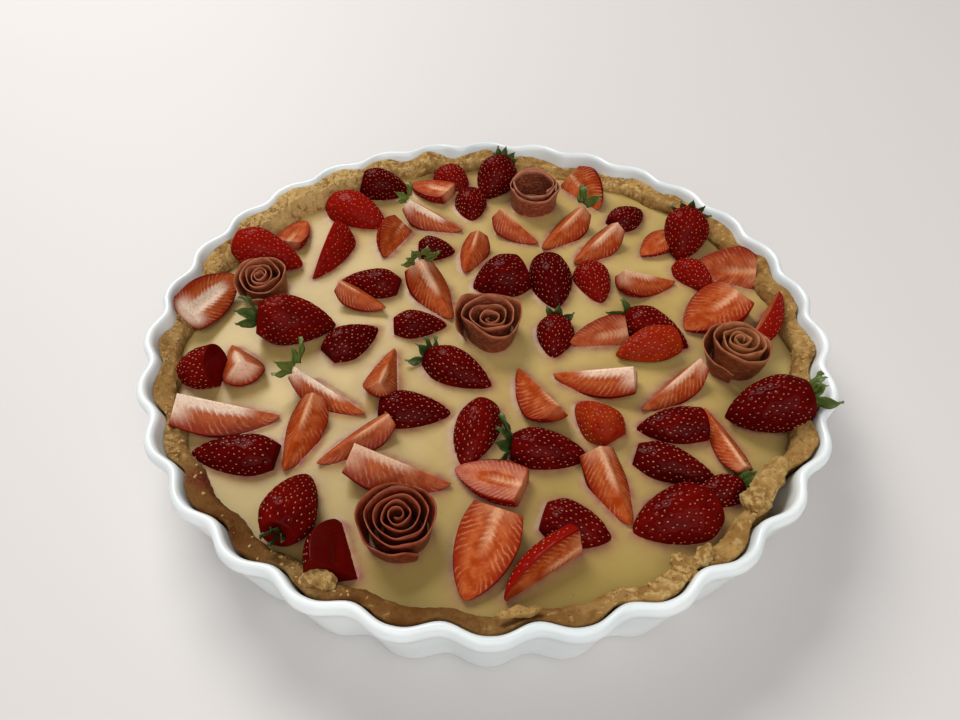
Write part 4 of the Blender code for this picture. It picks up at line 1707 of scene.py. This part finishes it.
STRAWBERRIES = (
    Strawberry("back_left_1", -3, 29, 21, Cut.WHOLE, lift=-3.4, tone=0.06),
    Strawberry("back_left_2", -36, 38, 25, tone=0.55),
    Strawberry("back_left_3", 80, 24, 16, Cut.FACE_UP, 0.9, at=(-101, 72), pale=0.4),
    Strawberry("back_left_4", -12, 35, 22, Cut.WHOLE, tone=0.55),
    Strawberry("back_left_5", -98, 41, 28, Cut.SKIN_LEFT, tone=0.45, pale=0.3),
    Strawberry("back_left_6", -110, 26, 20, Cut.FACE_LEFT, at=(-49, 65), tone=0.7, pale=0.1),
    Strawberry("back_1", -25, 34, 23, Cut.RIDGE, pale=1,
               calyx=Calyx(4, 8.0, 3.2, 45.0, 120.0, 150.0, 0.8, 4.0)),
    Strawberry("back_2", 150, 26, 18, Cut.FACE_UP, 0.9, at=(-33, 114), pale=0.6, tone=0.5),
    Strawberry("back_3", -52, 23, 20, Cut.SKIN_UP, tone=0.3, pale=0.3),
    Strawberry("back_4", -115, 28, 22, Cut.WHOLE, tone=0.12, calyx=Calyx(5, 8.5, 4.4, 60.0, fresh=0.25)),
    Strawberry("back_5", -85, 22, 18, blunt=0.9, at=(-9, 97), tone=0.15),
    Strawberry("back_6", -40, 28, 23, Cut.RIDGE_RIGHT, tone=0.6, pale=0.35),
    Strawberry("back_7", -133, 35, 22, Cut.RIDGE, pale=0.6, tone=0.6,
               calyx=Calyx(3, 11.0, 5.4, 45.0, 90.0, 110.0, 0.6)),
    Strawberry("back_8", -137, 34, 22, Cut.RIDGE, pale=0.75, tone=0.5),
    Strawberry("back_9", -60, 30, 24, Cut.FACE_RIGHT, pale=0.2, tone=0.5),
    Strawberry("back_11", 0, 19, 17, at=(-26, 59), tone=0.02),
    Strawberry("back_12", -105, 26, 20, Cut.RIDGE, at=(-8, 53), tone=0.7, pale=0.3),
    Strawberry("back_right_1", 40, 24, 18, at=(77, 89), tone=0.08),
    Strawberry("back_right_2", -110, 30, 23, Cut.WHOLE, tone=0.25, calyx=Calyx(5, 8.5, 4.4, 65.0, fresh=0.25)),
    Strawberry("back_right_3", -140, 23, 16, Cut.FACE_UP, at=(88, 63), tone=0.5, pale=0.3),
    Strawberry("back_right_4", 165, 31, 25, Cut.FACE_LEFT, pale=0.4, tone=0.6),
    Strawberry("left_1", 67, 34, 21, Cut.FACE_RIGHT, 0.9, 6, pale=1.2, tone=0.5),
    Strawberry("left_2", 8, 35, 23, Cut.WHOLE, tone=0.22,
               calyx=Calyx(3, 12.0, 5.6, 25.0, 120.0, 130.0, 0.35)),
    Strawberry("left_3", 172, 30, 19, tone=0.15),
    Strawberry("left_4", -25, 26, 18, Cut.RIDGE, at=(-59, 17), lift=2, tone=0.6, pale=0.3),
    Strawberry("left_5", 42, 28, 19, tone=0.05),
    Strawberry("left_6", 118, 25, 24, Cut.RIDGE, 0.95, at=(-110, -22), tone=0.4, pale=0.9),
    Strawberry("left_7", 178, 20.5, 19, Cut.WHOLE, 0.95, -2.0, tone=0.22),
    Strawberry("left_8", -30, 37, 20, Cut.RIDGE_RIGHT, pale=1, tone=0.5,
               calyx=Calyx(4, 10.5, 4.6, 50.0, 100.0, 190.0, 0.65)),
    Strawberry("left_9", -103, 34, 22, Cut.RIDGE, tone=0.55, pale=0.4),
    Strawberry("left_10", 0, 41, 29, Cut.RIDGE_RIGHT, 0.9, pale=1.15, tone=0.5),
    Strawberry("middle_1", 85, 32, 24, Cut.RIDGE_LEFT, at=(-43, -28), tone=0.6, pale=0.4),
    Strawberry("middle_2", -62, 36, 25, Cut.RIDGE, 0.8, pale=0.75, tone=0.4,
               calyx=Calyx(6, 6.5, 5.0, 78.0, 90.0, 260.0, 0.6, 2.5)),
    Strawberry("middle_3", 4, 25, 17, tone=0.12),
    Strawberry("middle_4", 205, 26, 27, blunt=0.85, tone=0.10),
    Strawberry("middle_5", -86, 33, 23, blunt=0.8, tone=0.0),
    Strawberry("middle_6", -80, 27, 19, at=(53, 33), tone=0.35),
    Strawberry("middle_7", -98, 25, 18, tone=0.12, calyx=Calyx(3, 8.0, 4.4, 55.0, 90.0, 150.0, 0.2)),
    Strawberry("middle_8", 190, 27, 18, Cut.FACE_LEFT, 0.85, pale=0.6, tone=0.5),
    Strawberry("middle_9", -32, 33, 20, tone=0.12, calyx=Calyx(4, 9.0, 4.8, 50.0, fresh=0.2)),
    Strawberry("middle_10", -3, 30, 18, tone=0.06),
    Strawberry("middle_11", 115, 36, 26, Cut.RIDGE_LEFT, pale=0.15, tone=0.7),
    Strawberry("middle_12", 170, 35, 25, Cut.RIDGE_LEFT, 0.9, pale=0.95, tone=0.5),
    Strawberry("middle_13", 125, 24, 20, at=(45, -53), tone=0.8),
    Strawberry("right_1", 8, 29, 23, Cut.RIDGE_RIGHT, 0.85, pale=0.75, tone=0.5),
    Strawberry("right_2", -60, 27, 17, at=(105, 38), tone=0.4),
    Strawberry("right_3", -145, 34, 26, Cut.FACE_UP, 0.8, pale=0.4, tone=0.6),
    Strawberry("right_4", 57, 40, 18.5, Cut.SIDE_LEFT, lift=4, tone=0.6, pale=0.3),
    Strawberry("right_5", -38, 32, 21, tone=0.15,
               calyx=Calyx(3, 10.5, 6.0, 40.0, 90.0, 160.0, 0.3)),
    Strawberry("right_6", 200, 29, 19, blunt=0.85, at=(71, -12), lift=2, tone=0.78),
    Strawberry("right_7", -142, 36, 21, Cut.RIDGE_LEFT, pale=0.8, tone=0.5),
    Strawberry("right_8", 187, 34.5, 23.5, Cut.WHOLE, lift=2, tone=0.10,
               calyx=Calyx(4, 11.0, 5.4, 35.0, 90.0, 180.0, 0.5)),
    Strawberry("front_left_1", 176, 35, 19, tone=0.08),
    Strawberry("front_left_2", 82, 31, 20, Cut.WHOLE, tone=0.18,
               calyx=Calyx(3, 6.0, 3.2, 25.0, 90.0, 160.0, 0.0, 7.0)),
    # Its cut face is painted dark red as shade, by a pale below 0.
    Strawberry("front_left_3", 100, 23.5, 23.5, Cut.FACE_RIGHT, 0.95, pale=-1, tone=0.06),
    Strawberry("front_left_4", -145, 34, 18, Cut.RIDGE, pale=0.5, tone=0.5),
    Strawberry("front_left_5", -14, 40, 28, Cut.RIDGE_RIGHT, 0.85, pale=0.8, tone=0.6),
    Strawberry("front_1", -105, 33, 19, tone=0.2),
    Strawberry("front_2", 158, 28, 19, Cut.FACE_UP, 0.9, pale=0.4, tone=0.6),
    Strawberry("front_3", -8, 31, 20, tone=0.12,
               calyx=Calyx(4, 11.5, 5.0, 42.0, 90.0, 180.0, 0.15)),
    Strawberry("front_4", -72, 32, 21, Cut.RIDGE, 0.95, pale=0.65, tone=0.5),
    Strawberry("front_5", -20, 26, 19, at=(33, -103), tone=0.15),
    Strawberry("front_6", 215, 34, 20, Cut.SIDE_LEFT, 0.9, tone=0.55, pale=0.4),
    Strawberry("front_7", -110, 35, 24, Cut.FACE_UP, 0.8, pale=0.4, tone=0.6),
    Strawberry("front_right_1", 185, 28, 18, blunt=0.9, tone=0.10),
    Strawberry("front_right_2", 103, 35, 15, Cut.RIDGE, pale=0.6, tone=0.5),
    Strawberry("front_right_3", -22, 33, 17, tone=0.08),
    Strawberry("front_right_4", 200, 34, 24, tone=0.20),
    Strawberry("front_right_5", 200, 22, 14, at=(87, -88), tone=0.1,
               calyx=Calyx(5, 9.5, 6.0, 45.0, 90.0, 220.0, 0.35)),
)

ROSES = (
    FruitRose("back", RibbonFinish("pink_ribbon", (0.20, 0.034, 0.016), (0.46, 0.170, 0.095),
                                   (0.11, 0.020, 0.007)),
              turns=2.2, end=20, flare=0.90, sink=0.06, core=0.74, wave=0.04, tilt=(5.0, 0.0)),
    FruitRose("left", RibbonFinish("tan_ribbon", (0.20, 0.048, 0.015), (0.40, 0.130, 0.060),
                                   (0.14, 0.013, 0.008)),
              turns=4.8, end=300, flare=0.72, sink=0.05, spread=1.4, tilt=(12.0, -3.0)),
    FruitRose("right", RibbonFinish("rosy_ribbon", (0.18, 0.030, 0.012), (0.40, 0.140, 0.060),
                                   (0.20, 0.085, 0.018)),
              turns=4.8, end=250, flare=0.74, sink=-0.10, spread=1.25, corners=0.03, petals=4,
              outer_drop=0.22),
    FruitRose("middle", RibbonFinish("brown_ribbon", (0.17, 0.030, 0.011), (0.38, 0.120, 0.055),
                                   (0.060, 0.009, 0.004)),
              turns=4.2, end=200, flare=0.74, sink=0.30, spread=1.20, corners=0.08, petals=3),
    FruitRose("front", RibbonFinish("dark_ribbon", (0.105, 0.010, 0.004), (0.28, 0.060, 0.026),
                                   (0.075, 0.014, 0.005)),
              turns=5.2, end=300, flare=0.76, sink=0.05, spread=1.15, outer_drop=0.10),
)


def main() -> None:
    """Build the tart and its stage."""
    logging.basicConfig(level=logging.INFO, format="%(message)s")
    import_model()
    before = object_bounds()
    Studio().build()
    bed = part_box("custard")[1].z / MM

    dish = FlanDish()
    LOG.info("made %s", dish.build().name)
    case = PastryCase(dish)
    LOG.info("made %s", case.build().name)
    LOG.info("made %s", Crumbs(case).build().name)
    LOG.info("made %s", PastryFlakes(case).build().name)
    footprints: list[Vector] = []
    for rose in ROSES:
        piece, feet = rose.build(bed)
        footprints += feet
        LOG.info("made %s", piece.name)
    maker = StrawberryMaker(bed, before[1][2] / MM)
    for berry in STRAWBERRIES:
        LOG.info("made %s", maker.build(berry).name)
    footprints += maker.footprints
    LOG.info("made %s", Custard(case, bed, footprints).build().name)


if __name__ == "__main__":
    main()
